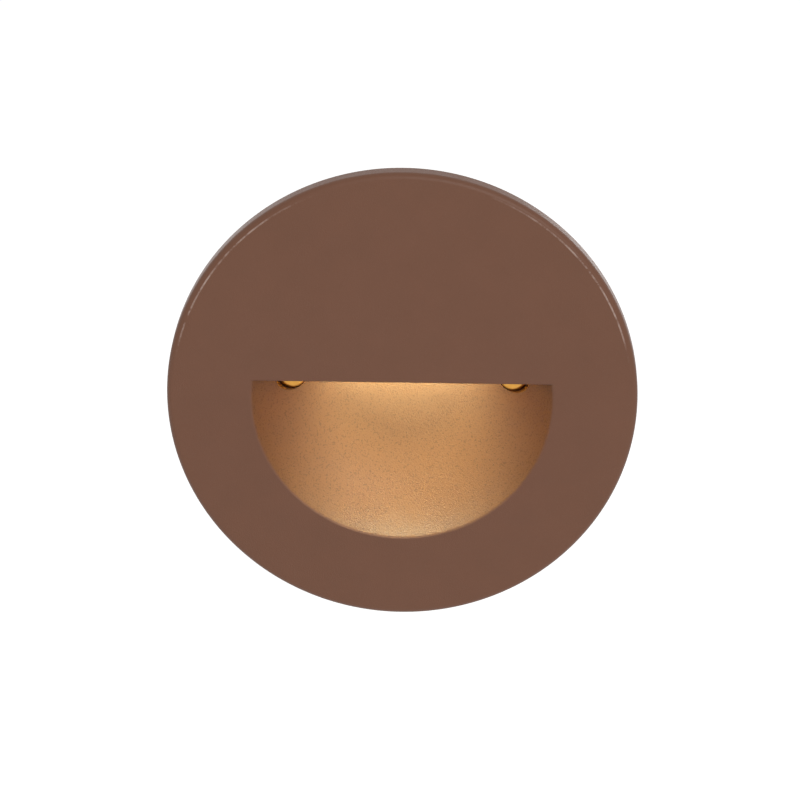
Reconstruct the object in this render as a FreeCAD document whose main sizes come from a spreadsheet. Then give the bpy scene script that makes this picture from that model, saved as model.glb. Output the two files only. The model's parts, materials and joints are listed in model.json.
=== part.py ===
import FreeCAD, Part
import math
import os
import re

import Sketcher

# Round step light: a thin disc that lies flat on a wall, with a half-moon recess whose lid hides
# a row of LEDs. The LEDs shine down through a frosted strip into the recess.
#
# X runs to the right, +Y into the wall and +Z up. The wall's surface is the plane y = 0, and the
# origin is midway between the two slots that fasten the bracket to the wall. Sizes are in mm.

SIZES = (
    # faceplate: a hollow disc with a rim that presses a foam ring on the wall
    ("rim_depth", 5.3),
    ("rim_wall", 3.4),
    ("face_thickness", 2.6),
    ("edge_round", 1.7),
    ("foam_thickness", 1.0),
    ("foam_inset", 0.6),
    # half-moon recess: a bowl whose wall is one wide curve, under a straight lid
    ("window_radius", 40.7),
    ("window_round", 0.7),
    ("lid_height", 4.45),
    ("bowl_depth", 12.5),
    ("bowl_curve", 34.8),
    ("bowl_wall", 2.0),
    ("ceiling_height", 9.0),
    ("ceiling_thickness", 2.0),
    # the two screws seen in the recess, which hold the light to its bracket
    ("face_screw_spacing", 60.2),
    ("face_screw_height", 3.1),
    ("face_screw_radius", 1.75),
    ("face_screw_length", 12.0),
    ("face_head_radius", 4.0),
    ("face_head_height", 2.4),
    ("face_drive_length", 3.6),
    ("face_drive_width", 0.9),
    ("face_drive_depth", 1.2),
    ("counterbore_radius", 4.2),
    ("seat_lift", 1.2),
    ("screw_boss_wall", 1.3),
    ("screw_boss_floor", 3.9),
    # D-shaped housing behind the lid, as wide as its contents and the bowl ask for
    ("housing_lap", 0.8),
    ("housing_wall", 2.2),
    ("housing_side_gap", 10.3),
    ("housing_back_gap", 3.45),
    ("cover_thickness", 2.5),
    ("seal_thickness", 1.0),
    ("cover_boss_radius", 3.4),
    ("cover_boss_inset", 2.4),
    ("cover_screw_radius", 1.5),
    ("cover_screw_length", 12.0),
    ("cover_head_radius", 2.8),
    ("cover_head_height", 2.2),
    # fits
    ("screw_clearance", 0.2),
    ("thread_clearance", 0.05),
    ("tapped_spare", 1.0),
    ("part_clearance", 0.15),
    # bracket: a strap bent round the back of the bowl, its feet on the wall under the faceplate
    ("bracket_thickness", 1.5),
    ("bracket_clearance", 1.0),
    ("bracket_setback", 1.2),
    ("bracket_bend", 1.2),
    ("wall_slot_length", 9.0),
    ("wall_slot_radius", 2.25),
    ("wall_slot_setback", 1.0),
    ("bracket_edge", 2.0),
    ("rim_gap", 2.1),
    ("nut_flange_radius", 4.0),
    ("nut_flange_thickness", 0.8),
    ("nut_barrel_radius", 2.75),
    ("nut_length", 8.0),
    # frosted strip and what holds it
    ("lens_width", 9.6),
    ("lens_thickness", 2.0),
    ("lens_corner", 1.0),
    ("lens_end_ledge", 3.5),
    ("lens_side_ledge", 1.5),
    ("lens_seal_thickness", 0.6),
    ("frame_length", 63.0),
    ("frame_thickness", 1.5),
    ("frame_screw_edge", 2.2),
    ("frame_boss_radius", 2.1),
    ("frame_boss_gap", 0.7),
    # small screws of the inner assembly
    ("small_screw_radius", 1.25),
    ("small_head_radius", 2.2),
    ("small_head_height", 1.7),
    ("drive_radius", 0.8),
    ("drive_depth", 0.9),
    # LEDs on their board, and the white shroud that guides their light
    ("shroud_height", 5.0),
    ("shroud_inset", 0.3),
    ("shroud_end_gap", 1.0),
    ("shroud_wall", 1.2),
    ("led_board_length", 62.0),
    ("led_board_thickness", 1.6),
    ("led_tab_width", 5.0),
    ("led_tab_reach", 5.6),
    ("led_screw_edge", 2.8),
    ("led_count", 5),
    ("led_pitch", 8.0),
    ("led_size", 3.0),
    ("led_height", 0.7),
    ("led_dome_radius", 1.2),
    ("led_dome_height", 0.35),
    ("pad_thickness", 0.5),
    ("pad_inset", 1.0),
    # aluminium plate that carries the LEDs and the driver
    ("carrier_thickness", 2.0),
    ("carrier_clearance", 1.0),
    ("carrier_screw_edge", 3.1),
    ("carrier_post_radius", 2.8),
    ("carrier_screw_length", 7.0),
    # driver
    ("tray_depth", 3.0),
    ("tray_floor", 1.0),
    ("tray_wall", 1.0),
    ("tray_post_radius", 2.4),
    ("driver_length", 40.8),
    ("driver_thickness", 1.6),
    ("driver_screw_edge", 3.0),
    ("driver_front_gap", 1.0),
    ("driver_back_gap", 2.0),
    ("driver_row_gap", 0.8),
    ("driver_part_gap", 1.1),
    ("capacitor_radius", 3.15),
    ("capacitor_length", 11.0),
    ("inductor_size", 9.6),
    ("inductor_height", 5.0),
    ("inductor_flange", 1.2),
    ("rectifier_length", 8.0),
    ("rectifier_width", 6.4),
    ("rectifier_height", 2.6),
    ("chip_length", 4.9),
    ("chip_width", 3.9),
    ("chip_height", 1.5),
    ("pin_reach", 1.0),
    ("pin_width", 0.5),
    ("pin_thickness", 0.3),
    ("terminal_length", 10.0),
    ("terminal_width", 7.0),
    ("terminal_height", 6.8),
    ("terminal_inset", 3.0),
    ("terminal_pitch", 5.0),
    ("terminal_hole_radius", 1.3),
    ("terminal_well_radius", 1.7),
    ("terminal_well_depth", 3.0),
    ("terminal_screw_height", 2.2),
    # two short leads from the driver down to the LED board
    ("lead_radius", 0.7),
    ("lead_bend", 1.8),
    ("lead_gap", 2.4),
    ("lead_rise", 1.0),
    ("lead_span", 4.8),
    ("lead_side_gap", 1.5),
    # cable gland in the rear cover
    ("gland_floor_gap", 1.5),
    ("gland_stem_radius", 5.0),
    ("gland_flats", 14.0),
    ("gland_flange", 2.5),
    ("gland_spigot_radius", 5.3),
    ("gland_spigot_length", 5.0),
    ("gland_bore_radius", 3.3),
    ("gland_seat_radius", 4.3),
    ("locknut_thickness", 2.6),
    ("bush_length", 4.0),
    ("bush_bore_radius", 2.75),
    ("cap_flats", 13.0),
    ("cap_end", 1.8),
    ("cap_gap", 0.5),
)

document = FreeCAD.newDocument("StepLight")
sheet = document.addObject("Spreadsheet::Sheet", "Sizes")
for row, (name, size) in enumerate(SIZES, start=1):
    sheet.set(f"A{row}", name)
    sheet.set(f"B{row}", str(size))
    sheet.setAlias(f"B{row}", name)
document.recompute()

SIZE_WORD = re.compile(r"\b(" + "|".join(name for name, _ in SIZES) + r")\b")
SIDES = ("-1", "1")
TINY = 1e-3

# Places along Y, from the face to the back
FACE = "(-(foam_thickness + rim_depth))"
FACE_BACK = f"({FACE} + face_thickness)"
BOWL_FLOOR = f"({FACE} + bowl_depth)"
BOWL_CENTRE = f"({BOWL_FLOOR} - bowl_curve)"
BOWL_RISE = f"({FACE} - {BOWL_CENTRE})"
SCREW_SEAT = f"({BOWL_FLOOR} - seat_lift)"
SCREW_BOSS_BACK = f"({SCREW_SEAT} + screw_boss_floor)"
BRACKET_FLAT = f"({SCREW_BOSS_BACK} + bracket_setback)"
STRIP_FRONT = f"({FACE_BACK} + part_clearance)"
STRIP_MIDDLE = f"({STRIP_FRONT} + lens_width / 2)"
STRIP_BACK = f"({STRIP_FRONT} + lens_width)"
TAB_BACK = f"({STRIP_BACK} + led_tab_reach)"
CARRIER_FRONT = f"({STRIP_FRONT} + part_clearance)"
CARRIER_SCREW_Y = f"({TAB_BACK} + carrier_post_radius + part_clearance)"
CARRIER_BACK = f"({CARRIER_SCREW_Y} + carrier_screw_edge)"
DRIVER_FRONT = f"({CARRIER_FRONT} + part_clearance)"
DRIVER_SCREW_Y = f"({DRIVER_FRONT} + driver_front_gap + inductor_size / 2)"
RECTIFIER_FRONT = f"({DRIVER_SCREW_Y} + inductor_size / 2 + driver_row_gap + pin_reach)"
PARTS_BACK = f"({RECTIFIER_FRONT} + rectifier_width + pin_reach)"
DRIVER_BACK = f"({PARTS_BACK} + driver_back_gap)"
HOUSING_BACK = f"({DRIVER_BACK} + housing_back_gap)"
COVER_FRONT = f"({HOUSING_BACK} + seal_thickness)"
COVER_BACK = f"({COVER_FRONT} + cover_thickness)"

# Radii and places across, from the strip and the bowl outwards
FRAME_SCREW_X = "(frame_length / 2 - frame_screw_edge)"
LENS_HALF = f"({FRAME_SCREW_X} - frame_boss_radius - frame_boss_gap)"
LED_SCREW_X = "(led_board_length / 2 - led_screw_edge)"
NEAREST_SCREW_X = f"min({LED_SCREW_X}; {FRAME_SCREW_X})"
SHROUD_HALF = f"({NEAREST_SCREW_X} - small_head_radius - shroud_end_gap)"
LED_TAB_X = "(driver_length / 2 + lead_side_gap + lead_radius)"
DRIVER_SCREW_X = "(driver_length / 2 - driver_screw_edge)"
BOWL_OUTSIDE = "(window_radius + bowl_wall)"
BOWL_FLAT = f"(window_radius - sqrt(bowl_curve ^ 2 - {BOWL_RISE} ^ 2))"
FACE_SCREW_X = "(face_screw_spacing / 2)"
HOUSING_BY_BOARD = "(led_board_length / 2 + housing_side_gap + housing_wall)"
HOUSING_RADIUS = f"max({HOUSING_BY_BOARD}; {BOWL_OUTSIDE} + housing_lap)"
CAVITY_RADIUS = f"({HOUSING_RADIUS} - housing_wall)"
LEG_X = f"({HOUSING_RADIUS} + bracket_clearance)"
WALL_SLOT_X = f"({LEG_X} + bracket_thickness + wall_slot_setback + wall_slot_length / 2)"
FOOT_END = f"({WALL_SLOT_X} + wall_slot_length / 2 + bracket_edge)"
RIM_INSIDE = f"({FOOT_END} + rim_gap)"
PLATE_RADIUS = f"({RIM_INSIDE} + rim_wall)"
BRACKET_HALF = "(ceiling_height - bracket_clearance)"

# Heights of the stack above the recess
CEILING_TOP = "(ceiling_height + ceiling_thickness)"
LENS_BASE = f"({CEILING_TOP} + lens_seal_thickness)"
FRAME_BASE = f"({LENS_BASE} + lens_thickness)"
SHROUD_BASE = f"({FRAME_BASE} + frame_thickness)"
LED_BOARD_BASE = f"({SHROUD_BASE} + shroud_height)"
PAD_BASE = f"({LED_BOARD_BASE} + led_board_thickness)"
CARRIER_BASE = f"({PAD_BASE} + pad_thickness)"
CARRIER_TOP = f"({CARRIER_BASE} + carrier_thickness)"
DRIVER_BASE = f"({CARRIER_TOP} + tray_depth)"
DRIVER_TOP = f"({DRIVER_BASE} + driver_thickness)"
CARRIER_HALF = f"(sqrt({CAVITY_RADIUS}^2 - {CARRIER_TOP}^2) - carrier_clearance)"
CARRIER_SCREW_X = f"({CARRIER_HALF} - carrier_screw_edge)"
GLAND_HEIGHT = f"({CEILING_TOP} + gland_floor_gap + gland_flats / 2)"

# The strip's opening, its lens and the shroud over it, as lengths and widths
LIGHT_SLOT = (f"(2 * ({LENS_HALF} - lens_end_ledge))", "(lens_width - 2 * lens_side_ledge)")
LENS = (f"(2 * {LENS_HALF})", "lens_width")
SHROUD = (f"(2 * {SHROUD_HALF})", "(lens_width - 2 * shroud_inset)")

# The rear cover's screws: one at the top of the D and one in each lower corner
COVER_CIRCLE = f"({CAVITY_RADIUS} - cover_boss_inset)"
COVER_LOW_Z = f"({CEILING_TOP} + cover_boss_radius + part_clearance)"
COVER_LOW_X = f"sqrt({COVER_CIRCLE}^2 - {COVER_LOW_Z}^2)"
COVER_PLACES = (
    ("0", COVER_CIRCLE),
    (f"(-{COVER_LOW_X})", COVER_LOW_Z),
    (f"({COVER_LOW_X})", COVER_LOW_Z),
)

nodes = []


def bound(expression):
    """The expression with each size read from the sheet."""
    return SIZE_WORD.sub(r"Sizes.\1", expression)


def value(expression):
    """The expression's number in mm."""
    return float(sheet.evalExpression(expression))


def new_node(label):
    """An empty body that becomes one node."""
    body = document.addObject("PartDesign::Body", label)
    body.Label = label
    nodes.append(body)
    return body


def origin_plane(body, role):
    """One of the planes of a body's own origin."""
    return next(item for item in body.Origin.OriginFeatures if item.Role == role)


def add_sketch(body, plane, distance="0", across="0"):
    """A sketch parallel to plane XY, XZ or YZ, at a distance along the third axis."""
    sketch = body.newObject("Sketcher::SketchObject", f"{body.Name}_sketch")
    sketch.AttachmentSupport = [(origin_plane(body, f"{plane}_Plane"), "")]
    sketch.MapMode = "FlatFace"
    along = f"-({distance})" if plane == "XZ" else distance
    sketch.setExpression("AttachmentOffset.Base.z", bound(along))
    sketch.setExpression("AttachmentOffset.Base.x", bound(across))
    return sketch


def hold(sketch, kind, element, point, expression):
    """A dimension from the sketch's origin to a point, bound to an expression."""
    constraint = Sketcher.Constraint(kind, element, point, value(expression))
    index = sketch.addConstraint(constraint)
    sketch.setExpression(f"Constraints[{index}]", bound(expression))


def outline(sketch, corners, centres=None, closed=True):
    """Sides from corner to corner, anticlockwise; a side with a centre is an arc about it."""
    centres = centres or {}
    count = len(corners)
    first = len(sketch.Geometry)
    points = [FreeCAD.Vector(value(across), value(up), 0) for across, up in corners]
    sides = count if closed else count - 1
    for side in range(sides):
        start, end = points[side], points[(side + 1) % count]
        if side not in centres:
            sketch.addGeometry(Part.LineSegment(start, end), False)
            continue
        middle = FreeCAD.Vector(*[value(place) for place in centres[side]], 0)
        circle_of_arc = Part.Circle(middle, FreeCAD.Vector(0, 0, 1), (start - middle).Length)
        angles = [math.atan2(end_.y - middle.y, end_.x - middle.x) for end_ in (start, end)]
        if angles[1] <= angles[0]:
            angles[1] += 2 * math.pi
        sketch.addGeometry(Part.ArcOfCircle(circle_of_arc, *angles), False)
    for side in range(sides):
        if closed or side < sides - 1:
            following = first + (side + 1) % sides
            sketch.addConstraint(Sketcher.Constraint("Coincident", first + side, 2, following, 1))
        hold(sketch, "DistanceX", first + side, 1, corners[side][0])
        hold(sketch, "DistanceY", first + side, 1, corners[side][1])
        if side in centres:
            chord = points[(side + 1) % count] - points[side]
            if abs(chord.x) < abs(chord.y):
                hold(sketch, "DistanceX", first + side, 3, centres[side][0])
            else:
                hold(sketch, "DistanceY", first + side, 3, centres[side][1])
    if not closed:
        hold(sketch, "DistanceX", first + sides - 1, 2, corners[-1][0])
        hold(sketch, "DistanceY", first + sides - 1, 2, corners[-1][1])


def circle(sketch, across, up, radius):
    """A circle in a sketch."""
    centre = FreeCAD.Vector(value(across), value(up), 0)
    shape = Part.Circle(centre, FreeCAD.Vector(0, 0, 1), value(radius))
    element = sketch.addGeometry(shape, False)
    hold(sketch, "DistanceX", element, 3, across)
    hold(sketch, "DistanceY", element, 3, up)
    index = sketch.addConstraint(Sketcher.Constraint("Radius", element, value(radius)))
    sketch.setExpression(f"Constraints[{index}]", bound(radius))


def rectangle(sketch, left, right, low, high):
    """A rectangle with square corners."""
    outline(sketch, ((left, low), (right, low), (right, high), (left, high)))


def rounded(sketch, left, right, low, high, radius):
    """A rectangle with round corners."""
    inner_left, inner_right = f"({left} + {radius})", f"({right} - {radius})"
    inner_low, inner_high = f"({low} + {radius})", f"({high} - {radius})"
    corners = (
        (inner_left, low),
        (inner_right, low),
        (right, inner_low),
        (right, inner_high),
        (inner_right, high),
        (inner_left, high),
        (left, inner_high),
        (left, inner_low),
    )
    centres = {
        1: (inner_right, inner_low),
        3: (inner_right, inner_high),
        5: (inner_left, inner_high),
        7: (inner_left, inner_low),
    }
    outline(sketch, corners, centres)


def half_moon(sketch, radius, base):
    """The part of a disc that lies above a straight base."""
    reach = f"sqrt({radius}^2 - {base}^2)"
    outline(sketch, ((f"(-{reach})", base), (reach, base)), {1: ("0", "0")})


def hexagon(sketch, across, up, flats):
    """A hexagon of the given size across its flats."""
    corner = f"({flats} / 2 / cos(30))"
    turns = range(0, 360, 60)
    outline(
        sketch,
        [(f"({across} + {corner} * cos({a}))", f"({up} + {corner} * sin({a}))") for a in turns],
    )


def finish_feature(body, feature, grows):
    """Rebuild, and stop if the feature changed nothing."""
    before = body.Shape.Volume if body.Shape and not body.Shape.isNull() else 0.0
    document.recompute()
    after = feature.Shape.Volume
    if (after - before) * (1 if grows else -1) <= TINY:
        raise RuntimeError(f"{body.Label}: {feature.Label} changes nothing")
    return feature


def extrude(body, sketch, length, towards, cut=False):
    """A pad or a pocket of a sketch, towards the rising (1) or falling (-1) side of its axis."""
    kind = "Pocket" if cut else "Pad"
    feature = body.newObject(f"PartDesign::{kind}", f"{body.Name}_{kind.lower()}")
    feature.Profile = sketch
    feature.setExpression("Length", bound(length))
    plane_name = sketch.AttachmentSupport[0][0].Role
    natural = -1 if plane_name == "XZ_Plane" else 1
    natural = -natural if cut else natural
    feature.Reversed = towards != natural
    return finish_feature(body, feature, not cut)


def turn(body, sketch, cut=False):
    """A full turn of a sketch about its own upright axis."""
    kind = "Groove" if cut else "Revolution"
    feature = body.newObject(f"PartDesign::{kind}", f"{body.Name}_{kind.lower()}")
    feature.Profile = sketch
    feature.ReferenceAxis = (sketch, ["V_Axis"])
    feature.Angle = 360
    return finish_feature(body, feature, not cut)


def round_edges(body, radius, wanted):
    """Round the edges whose middle point is wanted."""
    base = body.Tip
    names = []
    for number, edge in enumerate(base.Shape.Edges, start=1):
        middle = edge.valueAt((edge.FirstParameter + edge.LastParameter) / 2)
        if wanted(middle):
            names.append(f"Edge{number}")
    feature = body.newObject("PartDesign::Fillet", f"{body.Name}_round")
    feature.Base = (base, names)
    feature.setExpression("Radius", bound(radius))
    document.recompute()
    return feature


def screws(label, axis, places, seat, towards, sizes):
    """A set of screws: each is turned about its own axis, and its head rests on the seat."""
    shank, length, head, height = sizes
    soften = f"({height} / 2)"
    body = new_node(label)
    plane = "XY" if axis == "Y" else "XZ"
    for across, other in places:
        sketch = add_sketch(body, plane, other, across)
        if towards > 0:
            top = f"({seat} - {height})"
            corners = (
                ("0", f"({top} + drive_depth)"),
                ("drive_radius", f"({top} + drive_depth)"),
                ("drive_radius", top),
                (f"({head} - {soften})", top),
                (head, f"({top} + {soften})"),
                (head, seat),
                (shank, seat),
                (shank, f"({seat} + {length})"),
                ("0", f"({seat} + {length})"),
            )
            centres = {3: (f"({head} - {soften})", f"({top} + {soften})")}
        else:
            top = f"({seat} + {height})"
            corners = (
                ("0", f"({seat} - {length})"),
                (shank, f"({seat} - {length})"),
                (shank, seat),
                (head, seat),
                (head, f"({top} - {soften})"),
                (f"({head} - {soften})", top),
                ("drive_radius", top),
                ("drive_radius", f"({top} - drive_depth)"),
                ("0", f"({top} - drive_depth)"),
            )
            centres = {4: (f"({head} - {soften})", f"({top} - {soften})")}
        outline(sketch, corners, centres)
        turn(body, sketch)
    return body


def small_screws(label, places, seat, towards, length):
    """Small screws that stand upright in the housing."""
    sizes = ("small_screw_radius", length, "small_head_radius", "small_head_height")
    return screws(label, "Z", places, seat, towards, sizes)


def both_sides(across, other):
    """The same place on the left and on the right."""
    return [(f"({side} * {across})", other) for side in SIDES]


def drill(body, plane, level, places, radius, depth, towards):
    """Round holes of one size, sunk from a level."""
    sketch = add_sketch(body, plane, level)
    for across, up in places:
        circle(sketch, across, up, radius)
    return extrude(body, sketch, depth, towards, cut=True)


def stand(body, plane, level, places, radius, height, towards):
    """Round posts of one size that stand on a level."""
    sketch = add_sketch(body, plane, level)
    for across, up in places:
        circle(sketch, across, up, radius)
    return extrude(body, sketch, height, towards)


def make_front_casting():
    """Die-cast disc, bowl and housing in one piece."""
    body = new_node("front_casting")

    sketch = add_sketch(body, "XY")
    outline(
        sketch,
        (
            ("0", FACE),
            (PLATE_RADIUS, FACE),
            (PLATE_RADIUS, "(-foam_thickness)"),
            (RIM_INSIDE, "(-foam_thickness)"),
            (RIM_INSIDE, FACE_BACK),
            ("0", FACE_BACK),
        ),
    )
    turn(body, sketch)

    bowl_of(body, "bowl_wall", cut=False)
    stand(
        body,
        "XZ",
        FACE_BACK,
        both_sides(FACE_SCREW_X, "face_screw_height"),
        "(counterbore_radius + screw_boss_wall)",
        f"({SCREW_BOSS_BACK} - {FACE_BACK})",
        1,
    )
    bowl_of(body, "0", cut=True)

    # the lid closes the upper part of the round mouth
    sketch = add_sketch(body, "XZ", FACE)
    half_moon(sketch, "(window_radius + bowl_wall / 2)", "lid_height")
    extrude(body, sketch, "face_thickness", 1)

    # the housing's floor is the ceiling of the recess
    housing_front = f"({FACE} + face_thickness / 2)"
    sketch = add_sketch(body, "XZ", housing_front)
    half_moon(sketch, HOUSING_RADIUS, "ceiling_height")
    extrude(body, sketch, f"({HOUSING_BACK} - {housing_front})", 1)
    sketch = add_sketch(body, "XZ", HOUSING_BACK)
    half_moon(sketch, CAVITY_RADIUS, CEILING_TOP)
    extrude(body, sketch, f"({HOUSING_BACK} - {FACE_BACK})", -1, cut=True)

    # bosses for the rear cover run along the housing's wall, behind the strip
    boss_front = f"({STRIP_BACK} + part_clearance)"
    boss_length = f"({HOUSING_BACK} - {boss_front})"
    stand(body, "XZ", boss_front, COVER_PLACES, "cover_boss_radius", boss_length, 1)
    drill(
        body,
        "XZ",
        HOUSING_BACK,
        COVER_PLACES,
        "(cover_screw_radius + thread_clearance)",
        "(cover_screw_length - cover_thickness - seal_thickness + tapped_spare)",
        -1,
    )

    # the strip's opening in the ceiling, and the bosses of its frame
    sketch = add_sketch(body, "XY", CEILING_TOP)
    rounded(sketch, *over_strip(LIGHT_SLOT), "lens_corner")
    extrude(body, sketch, "ceiling_thickness", -1, cut=True)
    frame_places = both_sides(FRAME_SCREW_X, STRIP_MIDDLE)
    boss_height = f"({FRAME_BASE} - {CEILING_TOP})"
    stand(body, "XY", CEILING_TOP, frame_places, "frame_boss_radius", boss_height, 1)
    tapped = "(small_screw_radius + thread_clearance)"
    drill(body, "XY", FRAME_BASE, frame_places, tapped, f"({boss_height} + tapped_spare)", -1)

    # posts that lift the LED carrier
    carrier_places = both_sides(CARRIER_SCREW_X, CARRIER_SCREW_Y)
    post_height = f"({CARRIER_BASE} - {CEILING_TOP})"
    stand(body, "XY", CEILING_TOP, carrier_places, "carrier_post_radius", post_height, 1)
    drill(body, "XY", CARRIER_BASE, carrier_places, tapped, "carrier_screw_length", -1)

    # pockets for the two screws in the recess
    screw_places = both_sides(FACE_SCREW_X, "face_screw_height")
    sink = f"({SCREW_SEAT} - {FACE_BACK})"
    drill(body, "XZ", SCREW_SEAT, screw_places, "counterbore_radius", sink, -1)
    through = "(face_screw_radius + screw_clearance)"
    drill(body, "XZ", SCREW_SEAT, screw_places, through, "(2 * screw_boss_floor)", 1)

    face, rim, mouth = value(FACE), value(PLATE_RADIUS), value("window_radius")
    round_edges(
        body,
        "window_round",
        lambda middle: abs(middle.y - face) < TINY and from_axis(middle) < mouth + TINY,
    )
    round_edges(
        body,
        "edge_round",
        lambda middle: abs(middle.y - face) < TINY and from_axis(middle) > rim - TINY,
    )


def from_axis(point):
    """A point's distance from the disc's axis."""
    return math.hypot(point.x, point.z)


def bowl_of(body, wall, cut):
    """The bowl's outside or its hollow: a flat floor with one wide curve out to the face."""
    sketch = add_sketch(body, "XY")
    curve, floor = f"(bowl_curve + {wall})", f"({BOWL_FLOOR} + {wall})"
    mouth = f"({BOWL_FLAT} + sqrt({curve} ^ 2 - {BOWL_RISE} ^ 2))"
    corners = (("0", FACE), (mouth, FACE), (BOWL_FLAT, floor), ("0", floor))
    outline(sketch, corners, {1: (BOWL_FLAT, BOWL_CENTRE)})
    turn(body, sketch, cut)


def make_wall_gasket():
    """Foam ring between the rim and the wall."""
    body = new_node("wall_gasket")
    sketch = add_sketch(body, "XZ", "0")
    circle(sketch, "0", "0", f"({PLATE_RADIUS} - foam_inset)")
    circle(sketch, "0", "0", RIM_INSIDE)
    extrude(body, sketch, "foam_thickness", -1)


def make_bracket():
    """Strap with a foot at each end, bent back and across behind the bowl."""
    body = new_node("mounting_bracket")
    sketch = add_sketch(body, "XY", f"(-{BRACKET_HALF})")
    leg_outside = f"({LEG_X} + bracket_thickness)"
    flat_back = f"({BRACKET_FLAT} + bracket_thickness)"
    right = (
        (leg_outside, flat_back),
        (leg_outside, "0"),
        (FOOT_END, "0"),
        (FOOT_END, "(-bracket_thickness)"),
        (LEG_X, "(-bracket_thickness)"),
        (LEG_X, BRACKET_FLAT),
    )
    left = [(f"(-{across})", up) for across, up in right]
    outline(sketch, list(reversed(right)) + left)
    extrude(body, sketch, f"(2 * {BRACKET_HALF})", 1)

    bends = (
        (value(leg_outside), value(flat_back)),
        (value(LEG_X), -value("bracket_thickness")),
    )
    round_edges(
        body,
        "bracket_bend",
        lambda middle: any(
            math.hypot(abs(middle.x) - across, middle.y - up) < TINY for across, up in bends
        ),
    )

    sketch = add_sketch(body, "XZ", "0")
    straight = "(wall_slot_length / 2 - wall_slot_radius)"
    for side in SIDES:
        left_end = f"({side} * {WALL_SLOT_X} - {straight})"
        right_end = f"({side} * {WALL_SLOT_X} + {straight})"
        corners = (
            (left_end, "(-wall_slot_radius)"),
            (right_end, "(-wall_slot_radius)"),
            (right_end, "wall_slot_radius"),
            (left_end, "wall_slot_radius"),
        )
        outline(sketch, corners, {1: (right_end, "0"), 3: (left_end, "0")})
    extrude(body, sketch, "bracket_thickness", -1, cut=True)

    hole = "(nut_barrel_radius + thread_clearance)"
    places = both_sides(FACE_SCREW_X, "face_screw_height")
    drill(body, "XZ", BRACKET_FLAT, places, hole, "bracket_thickness", 1)


def make_bracket_nuts():
    """Threaded inserts riveted into the strap."""
    body = new_node("bracket_nuts")
    bore = "(face_screw_radius + thread_clearance)"
    front = f"({BRACKET_FLAT} - nut_flange_thickness)"
    for across, up in both_sides(FACE_SCREW_X, "face_screw_height"):
        sketch = add_sketch(body, "XY", up, across)
        outline(
            sketch,
            (
                (bore, front),
                ("nut_flange_radius", front),
                ("nut_flange_radius", BRACKET_FLAT),
                ("nut_barrel_radius", BRACKET_FLAT),
                ("nut_barrel_radius", f"({BRACKET_FLAT} + nut_length)"),
                (bore, f"({BRACKET_FLAT} + nut_length)"),
            ),
        )
        turn(body, sketch)


def make_face_screws():
    """The two screws seen at the top of the recess, with cross recesses."""
    places = both_sides(FACE_SCREW_X, "face_screw_height")
    sizes = ("face_screw_radius", "face_screw_length", "face_head_radius", "face_head_height")
    body = screws("face_screws", "Y", places, SCREW_SEAT, 1, sizes)
    sketch = add_sketch(body, "XZ", f"({SCREW_SEAT} - face_head_height)")
    arm, thin = "(face_drive_length / 2)", "(face_drive_width / 2)"
    cross = (
        (thin, f"(-{arm})"),
        (thin, f"(-{thin})"),
        (arm, f"(-{thin})"),
        (arm, thin),
        (thin, thin),
        (thin, arm),
        (f"(-{thin})", arm),
        (f"(-{thin})", thin),
        (f"(-{arm})", thin),
        (f"(-{arm})", f"(-{thin})"),
        (f"(-{thin})", f"(-{thin})"),
        (f"(-{thin})", f"(-{arm})"),
    )
    for across, up in places:
        outline(sketch, [(f"({across} + {dx})", f"({up} + {dz})") for dx, dz in cross])
    extrude(body, sketch, "face_drive_depth", 1, cut=True)


def over_strip(outer):
    """The four sides of a length and width laid over the middle of the strip."""
    half, side = f"({outer[0]} / 2)", f"({outer[1]} / 2)"
    return f"(-{half})", half, f"({STRIP_MIDDLE} - {side})", f"({STRIP_MIDDLE} + {side})"


def strip_plate(label, outer, base, thickness, inner=None, screw_holes=None):
    """A long flat piece over the strip's middle, with an opening or screw holes where named."""
    body = new_node(label)
    sketch = add_sketch(body, "XY", base)
    rounded(sketch, *over_strip(outer), "lens_corner")
    if inner:
        rectangle(sketch, *over_strip(inner))
    if screw_holes:
        for across, up in both_sides(screw_holes, STRIP_MIDDLE):
            circle(sketch, across, up, "(small_screw_radius + screw_clearance)")
    extrude(body, sketch, thickness, 1)
    return body


def make_strip():
    """Frosted strip, its seal and the frame that presses it down."""
    strip_plate("lens_seal", LENS, CEILING_TOP, "lens_seal_thickness", LIGHT_SLOT)
    strip_plate("lens", LENS, LENS_BASE, "lens_thickness")
    frame = ("frame_length", "lens_width")
    strip_plate("lens_frame", frame, FRAME_BASE, "frame_thickness", LIGHT_SLOT, FRAME_SCREW_X)
    places = both_sides(FRAME_SCREW_X, STRIP_MIDDLE)
    length = f"({SHROUD_BASE} - {CEILING_TOP})"
    small_screws("lens_frame_screws", places, SHROUD_BASE, -1, length)


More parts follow.
